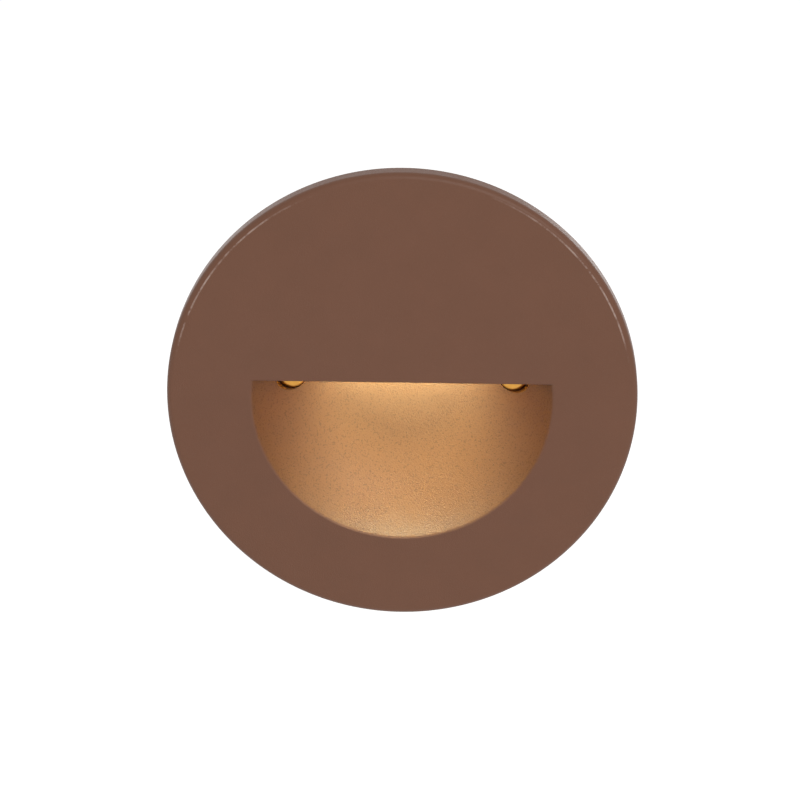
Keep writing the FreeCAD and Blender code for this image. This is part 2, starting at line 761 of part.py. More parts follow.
def make_lights():
    """LED board with its LEDs facing down, the shroud under it and the heat pad on it."""
    inner = tuple(f"({size} - 2 * shroud_wall)" for size in SHROUD)
    strip_plate("light_shroud", SHROUD, SHROUD_BASE, "shroud_height", inner)

    board = new_node("led_board")
    sketch = add_sketch(board, "XY", LED_BOARD_BASE)
    half = "(led_board_length / 2)"
    tab_left = f"({LED_TAB_X} - led_tab_width / 2)"
    tab_right = f"({LED_TAB_X} + led_tab_width / 2)"
    outline(
        sketch,
        (
            (f"(-{half})", STRIP_FRONT),
            (half, STRIP_FRONT),
            (half, STRIP_BACK),
            (tab_right, STRIP_BACK),
            (tab_right, TAB_BACK),
            (tab_left, TAB_BACK),
            (tab_left, STRIP_BACK),
            (f"(-{half})", STRIP_BACK),
        ),
    )
    places = both_sides(LED_SCREW_X, STRIP_MIDDLE)
    for across, up in places:
        circle(sketch, across, up, "(small_screw_radius + screw_clearance)")
    extrude(board, sketch, "led_board_thickness", 1)
    reach = f"({CARRIER_TOP} - {LED_BOARD_BASE} - part_clearance)"
    small_screws("led_board_screws", places, LED_BOARD_BASE, 1, reach)

    leds = new_node("leds")
    count = int(value("led_count"))
    rows = [f"({index - (count - 1) / 2} * led_pitch)" for index in range(count)]
    sketch = add_sketch(leds, "XY", LED_BOARD_BASE)
    for across in rows:
        left, right = f"({across} - led_size / 2)", f"({across} + led_size / 2)"
        low, high = f"({STRIP_MIDDLE} - led_size / 2)", f"({STRIP_MIDDLE} + led_size / 2)"
        rectangle(sketch, left, right, low, high)
    extrude(leds, sketch, "led_height", -1)
    places = [(across, STRIP_MIDDLE) for across in rows]
    base = f"({LED_BOARD_BASE} - led_height)"
    stand(leds, "XY", base, places, "led_dome_radius", "led_dome_height", -1)

    pad = (f"({SHROUD[0]} - 2 * pad_inset)", SHROUD[1])
    strip_plate("heat_pad", pad, PAD_BASE, "pad_thickness")


def make_carrier():
    """Aluminium plate that takes the LEDs' heat to the casting."""
    body = new_node("led_carrier")
    sketch = add_sketch(body, "XY", CARRIER_BASE)
    half = CARRIER_HALF
    rounded(sketch, f"(-{half})", half, CARRIER_FRONT, CARRIER_BACK, "lens_corner")
    # window over the board's tab, for the leads
    tab_half = "(led_tab_width / 2)"
    rectangle(
        sketch,
        f"({LED_TAB_X} - {tab_half})",
        f"({LED_TAB_X} + {tab_half})",
        f"({STRIP_BACK} + part_clearance)",
        TAB_BACK,
    )
    screw_holes = both_sides(CARRIER_SCREW_X, CARRIER_SCREW_Y)
    for across, up in screw_holes:
        circle(sketch, across, up, "(small_screw_radius + screw_clearance)")
    tapped_holes = both_sides(LED_SCREW_X, STRIP_MIDDLE)
    tapped_holes += both_sides(DRIVER_SCREW_X, DRIVER_SCREW_Y)
    for across, up in tapped_holes:
        circle(sketch, across, up, "(small_screw_radius + thread_clearance)")
    extrude(body, sketch, "carrier_thickness", 1)
    small_screws("carrier_screws", screw_holes, CARRIER_TOP, -1, "carrier_screw_length")


def make_driver():
    """Tray, board and the parts soldered on it."""
    half = "(driver_length / 2)"
    places = both_sides(DRIVER_SCREW_X, DRIVER_SCREW_Y)

    tray = new_node("driver_tray")
    sketch = add_sketch(tray, "XY", CARRIER_TOP)
    rectangle(sketch, f"(-{half})", half, DRIVER_FRONT, DRIVER_BACK)
    extrude(tray, sketch, "tray_depth", 1)
    sketch = add_sketch(tray, "XY", DRIVER_BASE)
    rectangle(
        sketch,
        f"(-{half} + tray_wall)",
        f"({half} - tray_wall)",
        f"({DRIVER_FRONT} + tray_wall)",
        f"({DRIVER_BACK} - tray_wall)",
    )
    extrude(tray, sketch, "(tray_depth - tray_floor)", -1, cut=True)
    floor = f"({CARRIER_TOP} + tray_floor / 2)"
    stand(tray, "XY", floor, places, "tray_post_radius", f"({DRIVER_BASE} - {floor})", 1)
    clear = "(small_screw_radius + screw_clearance)"
    drill(tray, "XY", DRIVER_BASE, places, clear, "tray_depth", -1)

    board = new_node("driver_board")
    sketch = add_sketch(board, "XY", DRIVER_BASE)
    rectangle(sketch, f"(-{half})", half, DRIVER_FRONT, DRIVER_BACK)
    for across, up in places:
        circle(sketch, across, up, clear)
    extrude(board, sketch, "driver_thickness", 1)
    length = "(driver_thickness + tray_depth + carrier_thickness - part_clearance)"
    small_screws("driver_screws", places, DRIVER_TOP, -1, length)

    capacitor = new_node("smoothing_capacitor")
    inner = f"({half} - driver_screw_edge - small_head_radius - 2 * part_clearance)"
    sketch = add_sketch(capacitor, "YZ", f"(-{inner})")
    circle(sketch, f"({DRIVER_SCREW_Y})", f"({DRIVER_TOP} + capacitor_radius)", "capacitor_radius")
    extrude(capacitor, sketch, "capacitor_length", 1)

    inductor = new_node("filter_inductor")
    right = inner
    left = f"({right} - inductor_size)"
    low = f"({DRIVER_SCREW_Y} - inductor_size / 2)"
    high = f"({DRIVER_SCREW_Y} + inductor_size / 2)"
    centre = [(f"(({left} + {right}) / 2)", DRIVER_SCREW_Y)]
    sketch = add_sketch(inductor, "XY", DRIVER_TOP)
    rounded(sketch, left, right, low, high, "lens_corner")
    extrude(inductor, sketch, "inductor_flange", 1)
    core = f"({DRIVER_TOP} + inductor_flange)"
    drum = "(inductor_size / 2 - inductor_flange / 2)"
    stand(inductor, "XY", core, centre, drum, "(inductor_height - 2 * inductor_flange)", 1)
    top = f"({DRIVER_TOP} + inductor_height - inductor_flange)"
    stand(inductor, "XY", top, centre, "(inductor_size / 2)", "inductor_flange", 1)

    row = f"({RECTIFIER_FRONT} + rectifier_width / 2)"
    right = f"({LED_TAB_X} - lead_span - lead_radius - driver_part_gap)"
    chip("bridge_rectifier", f"({right} - rectifier_length / 2)", row, "rectifier", 2)
    right = f"({right} - rectifier_length - driver_part_gap)"
    chip("driver_chip", f"({right} - chip_length / 2)", row, "chip", 4)

    block = new_node("terminal_block")
    middle = "(-(terminal_inset + terminal_length / 2))"
    left, right = f"({middle} - terminal_length / 2)", f"({middle} + terminal_length / 2)"
    front = f"({PARTS_BACK} - terminal_width)"
    sketch = add_sketch(block, "XY", DRIVER_TOP)
    rectangle(sketch, left, right, front, PARTS_BACK)
    extrude(block, sketch, "terminal_height", 1)
    poles = [f"({middle} + {side} * terminal_pitch / 2)" for side in SIDES]
    block_top = f"({DRIVER_TOP} + terminal_height)"
    wells = [(across, f"({PARTS_BACK} - terminal_width / 2)") for across in poles]
    drill(block, "XY", block_top, wells, "terminal_well_radius", "terminal_well_depth", -1)
    entries = [(across, f"({DRIVER_TOP} + terminal_hole_radius + tray_wall)") for across in poles]
    drill(block, "XZ", PARTS_BACK, entries, "terminal_hole_radius", "(terminal_width / 2)", -1)

    clamps = new_node("terminal_screws")
    base = f"({block_top} - terminal_well_depth)"
    radius = "(terminal_well_radius - thread_clearance)"
    stand(clamps, "XY", base, wells, radius, "terminal_screw_height", 1)
    sketch = add_sketch(clamps, "XY", f"({base} + terminal_screw_height)")
    for across, up in wells:
        reach, thin = "(2 * terminal_well_radius)", "(pin_width / 2)"
        rectangle(
            sketch,
            f"({across} - {reach} / 2)",
            f"({across} + {reach} / 2)",
            f"({up} - {thin})",
            f"({up} + {thin})",
        )
    extrude(clamps, sketch, "(terminal_screw_height / 4)", -1, cut=True)


def chip(label, across, up, kind, pins):
    """A moulded chip with flat pins along its front and back."""
    body = new_node(label)
    length, width, height = f"{kind}_length", f"{kind}_width", f"{kind}_height"
    half = f"({length} / 2)"
    sketch = add_sketch(body, "XY", DRIVER_TOP)
    low, high = f"({up} - {width} / 2)", f"({up} + {width} / 2)"
    rectangle(sketch, f"({across} - {half})", f"({across} + {half})", low, high)
    extrude(body, sketch, height, 1)
    sketch = add_sketch(body, "XY", DRIVER_TOP)
    for index in range(pins):
        place = f"({across} + ({index} - {(pins - 1) / 2}) * {length} / {pins})"
        left, right = f"({place} - pin_width / 2)", f"({place} + pin_width / 2)"
        rectangle(sketch, left, right, f"({low} - pin_reach)", f"({high} + pin_reach)")
    extrude(body, sketch, "pin_thickness", 1)
    return body


def make_leads():
    """Two short leads that rise from the LED board's tab and bend over on to the driver."""
    for index, label in enumerate(("led_lead_positive", "led_lead_negative")):
        body = new_node(label)
        sign = 1 if index else -1
        place = f"({STRIP_BACK} + led_tab_reach / 2 + {sign} * lead_gap / 2)"
        top = f"({DRIVER_TOP} + lead_bend + lead_rise)"
        inner = f"({LED_TAB_X} - lead_span)"
        path = add_sketch(body, "XZ", place)
        corners = (
            (LED_TAB_X, PAD_BASE),
            (LED_TAB_X, f"({top} - lead_bend)"),
            (f"({LED_TAB_X} - lead_bend)", top),
            (f"({inner} + lead_bend)", top),
            (inner, f"({top} - lead_bend)"),
            (inner, DRIVER_TOP),
        )
        centres = {
            1: (f"({LED_TAB_X} - lead_bend)", f"({top} - lead_bend)"),
            3: (f"({inner} + lead_bend)", f"({top} - lead_bend)"),
        }
        outline(path, corners, centres, closed=False)
        profile = add_sketch(body, "XY", PAD_BASE)
        circle(profile, LED_TAB_X, place, "lead_radius")
        document.recompute()
        pipe = body.newObject("PartDesign::AdditivePipe", f"{label}_pipe")
        pipe.Profile = profile
        pipe.Spine = (path, [f"Edge{number + 1}" for number in range(len(corners) - 1)])
        finish_feature(body, pipe, True)


def make_rear_cover():
    """Plate that closes the housing, its seal and its screws."""
    seal = new_node("cover_seal")
    sketch = add_sketch(seal, "XZ", HOUSING_BACK)
    half_moon(sketch, HOUSING_RADIUS, "ceiling_height")
    extrude(seal, sketch, "seal_thickness", 1)
    sketch = add_sketch(seal, "XZ", COVER_FRONT)
    half_moon(sketch, CAVITY_RADIUS, CEILING_TOP)
    extrude(seal, sketch, "seal_thickness", -1, cut=True)
    stand(seal, "XZ", HOUSING_BACK, COVER_PLACES, "cover_boss_radius", "seal_thickness", 1)
    clear = "(cover_screw_radius + screw_clearance)"
    drill(seal, "XZ", COVER_FRONT, COVER_PLACES, clear, "seal_thickness", -1)

    cover = new_node("rear_cover")
    sketch = add_sketch(cover, "XZ", COVER_FRONT)
    half_moon(sketch, HOUSING_RADIUS, "ceiling_height")
    for across, up in COVER_PLACES:
        circle(sketch, across, up, clear)
    circle(sketch, "0", GLAND_HEIGHT, "(gland_stem_radius + part_clearance)")
    extrude(cover, sketch, "cover_thickness", 1)
    sizes = ("cover_screw_radius", "cover_screw_length", "cover_head_radius", "cover_head_height")
    screws("cover_screws", "Y", COVER_PLACES, COVER_BACK, -1, sizes)


def make_gland():
    """Cable gland: body through the cover, locknut inside, rubber bush and cap outside."""
    flange_back = f"({COVER_BACK} + gland_flange)"
    spigot_back = f"({flange_back} + gland_spigot_length)"
    stem_front = f"({COVER_FRONT} - locknut_thickness - part_clearance)"
    bush_front = f"({spigot_back} - bush_length)"

    body = new_node("gland_body")
    sketch = add_sketch(body, "XZ", COVER_BACK)
    hexagon(sketch, "0", GLAND_HEIGHT, "gland_flats")
    extrude(body, sketch, "gland_flange", 1)
    sketch = add_sketch(body, "XY", GLAND_HEIGHT)
    outline(
        sketch,
        (
            ("0", stem_front),
            ("gland_stem_radius", stem_front),
            ("gland_stem_radius", flange_back),
            ("gland_spigot_radius", flange_back),
            ("gland_spigot_radius", spigot_back),
            ("0", spigot_back),
        ),
    )
    turn(body, sketch)
    through = f"({spigot_back} - {stem_front})"
    drill(body, "XZ", stem_front, [("0", GLAND_HEIGHT)], "gland_bore_radius", through, 1)
    drill(body, "XZ", bush_front, [("0", GLAND_HEIGHT)], "gland_seat_radius", "bush_length", 1)

    locknut = new_node("gland_locknut")
    sketch = add_sketch(locknut, "XZ", COVER_FRONT)
    hexagon(sketch, "0", GLAND_HEIGHT, "gland_flats")
    circle(sketch, "0", GLAND_HEIGHT, "(gland_stem_radius + thread_clearance)")
    extrude(locknut, sketch, "locknut_thickness", -1)

    bush = new_node("gland_bush")
    sketch = add_sketch(bush, "XZ", bush_front)
    circle(sketch, "0", GLAND_HEIGHT, "(gland_seat_radius - thread_clearance)")
    circle(sketch, "0", GLAND_HEIGHT, "bush_bore_radius")
    extrude(bush, sketch, "bush_length", 1)

    cap = new_node("gland_cap")
    cap_front = f"({flange_back} + cap_gap)"
    cap_back = f"({spigot_back} + cap_end)"
    sketch = add_sketch(cap, "XZ", cap_front)
    hexagon(sketch, "0", GLAND_HEIGHT, "cap_flats")
    extrude(cap, sketch, f"({cap_back} - {cap_front})", 1)
    opening = "(bush_bore_radius + screw_clearance)"
    place = [("0", GLAND_HEIGHT)]
    drill(cap, "XZ", cap_front, place, opening, f"({cap_back} - {cap_front})", 1)
    inside = "(gland_spigot_radius + thread_clearance)"
    drill(cap, "XZ", cap_front, place, inside, f"({spigot_back} - {cap_front})", 1)


def check_and_write():
    """Stop on any failed object or shape, then write each node."""
    document.recompute()
    for item in document.Objects:
        if "Invalid" in item.State or "Error" in item.State:
            raise RuntimeError(f"{item.Label} failed: {item.State}")
    for node in nodes:
        shape = node.Shape
        if shape.isNull() or not shape.isValid() or not shape.Solids:
            raise RuntimeError(f"{node.Label} has no valid shape")
    os.makedirs("parts", exist_ok=True)
    for node in nodes:
        node.Shape.exportStep(f"parts/{node.Label}.step")
        solids = len(node.Shape.Solids)
        print(f"{node.Label}: {solids} solid(s), {node.Shape.Volume:.1f} mm3")


make_front_casting()
make_wall_gasket()
make_bracket()
make_bracket_nuts()
make_face_screws()
make_strip()
make_lights()
make_carrier()
make_driver()
make_leads()
make_rear_cover()
make_gland()
check_and_write()
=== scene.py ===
"""Step light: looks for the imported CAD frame.

A round die-cast wall light in brown bronze powder coat. A half-moon recess in its lower half is
lit from above by a frosted strip that a straight lid hides.

Sizes are in millimetres until a piece is finished. +X runs right, +Y into the wall and +Z up.
"""

import json
import logging
import math
from collections.abc import Sequence
from dataclasses import dataclass
from enum import Enum
from typing import Any

import bmesh
import bpy
from mathutils import Matrix, Vector


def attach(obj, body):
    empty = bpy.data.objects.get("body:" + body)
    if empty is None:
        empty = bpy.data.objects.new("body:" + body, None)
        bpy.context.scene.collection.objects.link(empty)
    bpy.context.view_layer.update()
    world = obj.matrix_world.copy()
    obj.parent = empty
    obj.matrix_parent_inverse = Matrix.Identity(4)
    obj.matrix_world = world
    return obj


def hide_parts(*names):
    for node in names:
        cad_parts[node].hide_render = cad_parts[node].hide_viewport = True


Mesh = bmesh.types.BMesh
Piece = bpy.types.Object
Tree = bpy.types.NodeTree
Socket = bpy.types.NodeSocket
Pair = tuple[float, float]
Triple = tuple[float, float, float]

MILLIMETRE = 0.001
ROUND_STEPS = 256
SMALL_STEPS = 48
HEXAGON_STEPS = 6
ARC_STEPS = 10
SHORT_ARC_STEPS = 8
SOFT_SEGMENTS = 2
SHARP_ANGLE = math.radians(32)
FLAT_ANGLE = math.radians(0.2)
MERGE_DISTANCE = 1e-4
# how far a cutting solid reaches past what it cuts, in mm
PAST = 1.0

log = logging.getLogger("step_light")
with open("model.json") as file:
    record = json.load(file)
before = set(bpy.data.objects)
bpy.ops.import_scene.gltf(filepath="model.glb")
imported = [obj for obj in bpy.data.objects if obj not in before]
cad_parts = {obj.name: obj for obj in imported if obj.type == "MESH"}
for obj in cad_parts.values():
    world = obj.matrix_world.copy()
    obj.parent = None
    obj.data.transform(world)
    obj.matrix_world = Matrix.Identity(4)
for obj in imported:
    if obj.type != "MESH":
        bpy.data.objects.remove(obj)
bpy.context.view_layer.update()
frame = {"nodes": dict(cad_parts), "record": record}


def linear(code: str) -> tuple[float, float, float, float]:
    """Turn an sRGB colour into the linear one that shaders take.

    Args:
        code: The colour as six hex digits.

    Returns:
        Red, green, blue and alpha, linear.
    """
    channels = [int(code[start : start + 2], 16) / 255 for start in (0, 2, 4)]
    red, green, blue = (
        share / 12.92 if share <= 0.04045 else ((share + 0.055) / 1.055) ** 2.4
        for share in channels
    )
    return red, green, blue, 1.0


# ---- Mesh tools ----


class Join(Enum):
    """How solids are put together."""

    ADD = "UNION"
    CUT = "DIFFERENCE"
    SHARE = "INTERSECT"


class Lie(Enum):
    """The plane an outline is drawn for, as the matrix that lays its solid there."""

    FLAT = Matrix.Identity(4)
    WALL = Matrix(((1, 0, 0, 0), (0, 0, 1, 0), (0, 1, 0, 0), (0, 0, 0, 1)))


def closed(mesh: Mesh) -> Mesh:
    """Merge a solid's doubled points and turn its faces outwards.

    Args:
        mesh: The solid.

    Returns:
        The same solid.
    """
    bmesh.ops.remove_doubles(mesh, verts=mesh.verts, dist=MERGE_DISTANCE)
    bmesh.ops.recalc_face_normals(mesh, faces=mesh.faces)
    return mesh


def moved(mesh: Mesh, x: float = 0, y: float = 0, z: float = 0) -> Mesh:
    """Move a solid to the right, into the wall and up."""
    bmesh.ops.translate(mesh, vec=(x, y, z), verts=mesh.verts)
    return mesh


def together(parts: Sequence[Mesh]) -> Mesh:
    """Gather solids that don't touch into one mesh.

    Args:
        parts: The solids, which are freed.

    Returns:
        The mesh.
    """
    gathered = bmesh.new()
    carrier = bpy.data.meshes.new("carrier")
    for part in parts:
        part.to_mesh(carrier)
        gathered.from_mesh(carrier)
        part.free()
    bpy.data.meshes.remove(carrier)
    return gathered


class Outline:
    """A chain of edges drawn point by point, which is then turned or raised into a solid."""

    def __init__(self, across: float, up: float) -> None:
        """Start the chain at a point."""
        self.mesh = bmesh.new()
        self.tip = self.first = self.mesh.verts.new((across, up, 0))

    def to(self, across: float, up: float) -> "Outline":
        """Draw a straight edge.

        Args:
            across: The end's place across.
            up: The end's place up.

        Returns:
            The outline.
        """
        self.tip = bmesh.ops.extrude_vert_indiv(self.mesh, verts=[self.tip])["verts"][0]
        self.tip.co = (across, up, 0)
        return self

    def arc(self, across: float, up: float, degrees: float, steps: int = ARC_STEPS) -> "Outline":
        """Draw an arc from the tip.

        Args:
            across: The centre's place across.
            up: The centre's place up.
            degrees: The angle, anticlockwise.
            steps: The edges in it.

        Returns:
            The outline.
        """
        made = bmesh.ops.spin(
            self.mesh,
            geom=[self.tip],
            cent=(across, up, 0),
            axis=(0, 0, 1),
            angle=math.radians(degrees),
            steps=steps,
        )
        self.tip = next(item for item in made["geom_last"] if isinstance(item, bmesh.types.BMVert))
        return self

    def turned(self, steps: int = SMALL_STEPS) -> Mesh:
        """Turn the chain about the Y axis.

        Args:
            steps: The faces round it.

        Returns:
            The solid.
        """
        bmesh.ops.spin(
            self.mesh,
            geom=self.mesh.verts[:] + self.mesh.edges[:],
            cent=(0, 0, 0),
            axis=(0, 1, 0),
            angle=math.tau,
            steps=steps,
            use_merge=True,
        )
        return closed(self.mesh)

    def raised(self, low: float, high: float, lie: Lie = Lie.FLAT) -> Mesh:
        """Close the chain and give it height.

        Args:
            low: Where the solid starts along its third axis.
            high: Where it ends.
            lie: The plane it is drawn for.

        Returns:
            The solid.
        """
        if (self.tip.co - self.first.co).length > MERGE_DISTANCE:
            self.mesh.edges.new((self.tip, self.first))
        bmesh.ops.remove_doubles(self.mesh, verts=self.mesh.verts, dist=MERGE_DISTANCE)
        bmesh.ops.contextual_create(self.mesh, geom=self.mesh.edges[:])
        raised = bmesh.ops.extrude_face_region(self.mesh, geom=self.mesh.faces[:])["geom"]
        top = [item for item in raised if isinstance(item, bmesh.types.BMVert)]
        bmesh.ops.translate(self.mesh, vec=(0, 0, low), verts=self.mesh.verts)
        bmesh.ops.translate(self.mesh, vec=(0, 0, high - low), verts=top)
        bmesh.ops.transform(self.mesh, matrix=lie.value, verts=self.mesh.verts)
        return closed(self.mesh)


def half_moon(radius: float, base: float) -> Outline:
    """Draw the part of a disc above a straight base.

    Args:
        radius: The disc's radius.
        base: The base's height above the disc's centre.

    Returns:
        The outline.
    """
    reach = math.sqrt(radius**2 - base**2)
    angle = 180 - 2 * math.degrees(math.asin(base / radius))
    return Outline(reach, base).arc(0, 0, angle, ROUND_STEPS // 2)


def rounded_box(length: float, width: float, corner: float) -> Outline:
    """Draw a rectangle with round corners about the origin.

    Args:
        length: The size across.
        width: The size up.
        corner: The corners' radius.

    Returns:
        The outline.
    """
    across, up = length / 2 - corner, width / 2 - corner
    outline = Outline(-across, -up - corner).to(across, -up - corner).arc(across, -up, 90)
    outline.to(across + corner, up).arc(across, up, 90)
    outline.to(-across, up + corner).arc(-across, up, 90)
    return outline.to(-across - corner, -up).arc(-across, -up, 90)


def disc(radius: float, steps: int = SMALL_STEPS) -> Outline:
    """Draw a circle about the origin."""
    return Outline(radius, 0).arc(0, 0, 360, steps)


def rod(
    radius: float, start: float, end: float, lie: Lie = Lie.WALL, place: Pair = (0, 0)
) -> Mesh:
    """Make a plain round bar.

    Args:
        radius: Its radius.
        start: Where it starts along its own axis.
        end: Where it ends.
        lie: The plane it stands on.
        place: Its centre in that plane.

    Returns:
        The solid.
    """
    bar = moved(disc(radius).raised(start, end), *place)
    bmesh.ops.transform(bar, matrix=lie.value, verts=bar.verts)
    return closed(bar)


def rods(
    radius: float, start: float, end: float, places: Sequence[Pair], lie: Lie = Lie.WALL
) -> list[Mesh]:
    """Make the same plain round bar at each place."""
    return [rod(radius, start, end, lie, place) for place in places]


def object_of(mesh: Mesh, name: str) -> Piece:
    """Turn a solid into an object in the scene.

    Args:
        mesh: The solid, which is freed.
        name: The object's name.

    Returns:
        The object.
    """
    data = bpy.data.meshes.new(name)
    mesh.to_mesh(data)
    mesh.free()
    made = bpy.data.objects.new(name, data)
    bpy.context.scene.collection.objects.link(made)
    return made


def combined(base: Mesh, tools: Sequence[Mesh], how: Join) -> Mesh:
    """Add solids to a base, cut them out of it, or keep what both share.

    Args:
        base: The solid that stays.
        tools: The solids that work on it.
        how: What they do to it.

    Returns:
        The new solid.
    """
    held = object_of(base, "base")
    group = bpy.data.collections.new("tools")
    bpy.context.scene.collection.children.link(group)
    tool_objects = [object_of(tool, "tool") for tool in tools]
    for tool in tool_objects:
        bpy.context.scene.collection.objects.unlink(tool)
        group.objects.link(tool)
    step = held.modifiers.new("join", "BOOLEAN")
    step.operation = how.value
    step.operand_type = "COLLECTION"
    step.collection = group
    step.solver = "EXACT"
    ready = held.evaluated_get(bpy.context.evaluated_depsgraph_get())
    result = bmesh.new()
    result.from_mesh(ready.to_mesh())
    ready.to_mesh_clear()
    for used in [held, *tool_objects]:
        data = used.data
        bpy.data.objects.remove(used)
        bpy.data.meshes.remove(data)
    bpy.data.collections.remove(group)
    bmesh.ops.remove_doubles(result, verts=result.verts, dist=MERGE_DISTANCE)
    return result


# ---- Finishes ----


def add_node(
    tree: Tree,
    kind: str,
    settings: dict[str | int, Any] | None = None,
    links: dict[str | int, Socket] | None = None,
) -> bpy.types.Node:
    """Add a node with its settings and links.

    Args:
        tree: The material's or world's node tree.
        kind: The node's type, without its prefix.
        settings: Values for its properties, or for its inputs where it has no such property.
        links: Output sockets that feed its inputs.

    Returns:
        The node.
    """
    made = tree.nodes.new(f"ShaderNode{kind}")
    for name, setting in (settings or {}).items():
        if isinstance(name, str) and hasattr(made, name):
            setattr(made, name, setting)
        else:
            made.inputs[name].default_value = setting
    for name, source in (links or {}).items():
        tree.links.new(source, made.inputs[name])
    return made


def pattern_scale(size: float) -> float:
    """The Scale of a pattern whose features are of a size in mm."""
    return 1 / (size * MILLIMETRE)


@dataclass(frozen=True)
class Finish:
    """A finish that varies a little in tone and has a fine relief, as nearly all do.

    Sizes are in mm. The tone runs from colour to other_colour over patches of tone_size, and
    the relief has grains of grain_size that stand grain_height high.
    """

    name: str
    colour: str
    other_colour: str
    roughness: float
    metallic: float = 0.0
    ior: float = 1.5
    tone_size: float = 6.0
    grain_size: float = 0.4
    grain_height: float = 0.01
    roughness_spread: float = 0.08
    specular: float = 0.5

    def tone(self, tree: Tree, place: Socket) -> Socket:
        """Mix the two colours in soft patches.

        Args:
            tree: The material's node tree.
            place: The place on the object.

        Returns:
            The colour.
        """
        patches = add_node(
            tree,
            "TexNoise",
            {"Scale": pattern_scale(self.tone_size), "Detail": 4.0, "Roughness": 0.6},
            {"Vector": place},
        )
        return add_node(
            tree,
            "Mix",
            {"data_type": "RGBA", 6: linear(self.colour), 7: linear(self.other_colour)},
            {0: patches.outputs["Fac"]},
        ).outputs[2]

    def relief(self, tree: Tree, place: Socket) -> Socket:
        """Raise the grains.

        Args:
            tree: The material's node tree.
            place: The place on the object.

        Returns:
            The normal.
        """
        grains = add_node(
            tree,
            "TexNoise",
            {"Scale": pattern_scale(self.grain_size), "Detail": 3.0, "Roughness": 0.55},
            {"Vector": place},
        )
        return add_node(
            tree,
            "Bump",
            {"Strength": 1.0, "Distance": self.grain_height * MILLIMETRE},
            {"Height": grains.outputs["Fac"]},
        ).outputs["Normal"]

    def gloss(self, tree: Tree, place: Socket) -> Socket:
        """Vary the roughness over the same patches.

        Args:
            tree: The material's node tree.
            place: The place on the object.

        Returns:
            The roughness.
        """
        patches = add_node(
            tree,
            "TexNoise",
            {"Scale": pattern_scale(self.tone_size / 2), "Detail": 3.0},
            {"Vector": place},
        )
        low, high = (self.roughness + side * self.roughness_spread for side in (-1, 1))
        return add_node(
            tree, "MapRange", {"To Min": low, "To Max": high}, {"Value": patches.outputs["Fac"]}
        ).outputs["Result"]

    def shade(self, shader: bpy.types.Node) -> None:
        """Set what is the same all over the surface, on the shader's own sockets.

        Args:
            shader: The material's shader.
        """
        shader.inputs["Metallic"].default_value = self.metallic
        if not self.metallic:
            shader.inputs["IOR"].default_value = self.ior
            shader.inputs["Specular IOR Level"].default_value = self.specular

    def material(self) -> bpy.types.Material:
        """Build the material once.

        Returns:
            The material.
        """
        known = bpy.data.materials.get(self.name)
        if known:
            return known
        made = bpy.data.materials.new(self.name)
        made.use_nodes = True
        tree = made.node_tree
        shader = tree.nodes["Principled BSDF"]
        place = add_node(tree, "TexCoord").outputs["Object"]
        tree.links.new(self.tone(tree, place), shader.inputs["Base Color"])
        tree.links.new(self.relief(tree, place), shader.inputs["Normal"])
        tree.links.new(self.gloss(tree, place), shader.inputs["Roughness"])
        self.shade(shader)
        return made


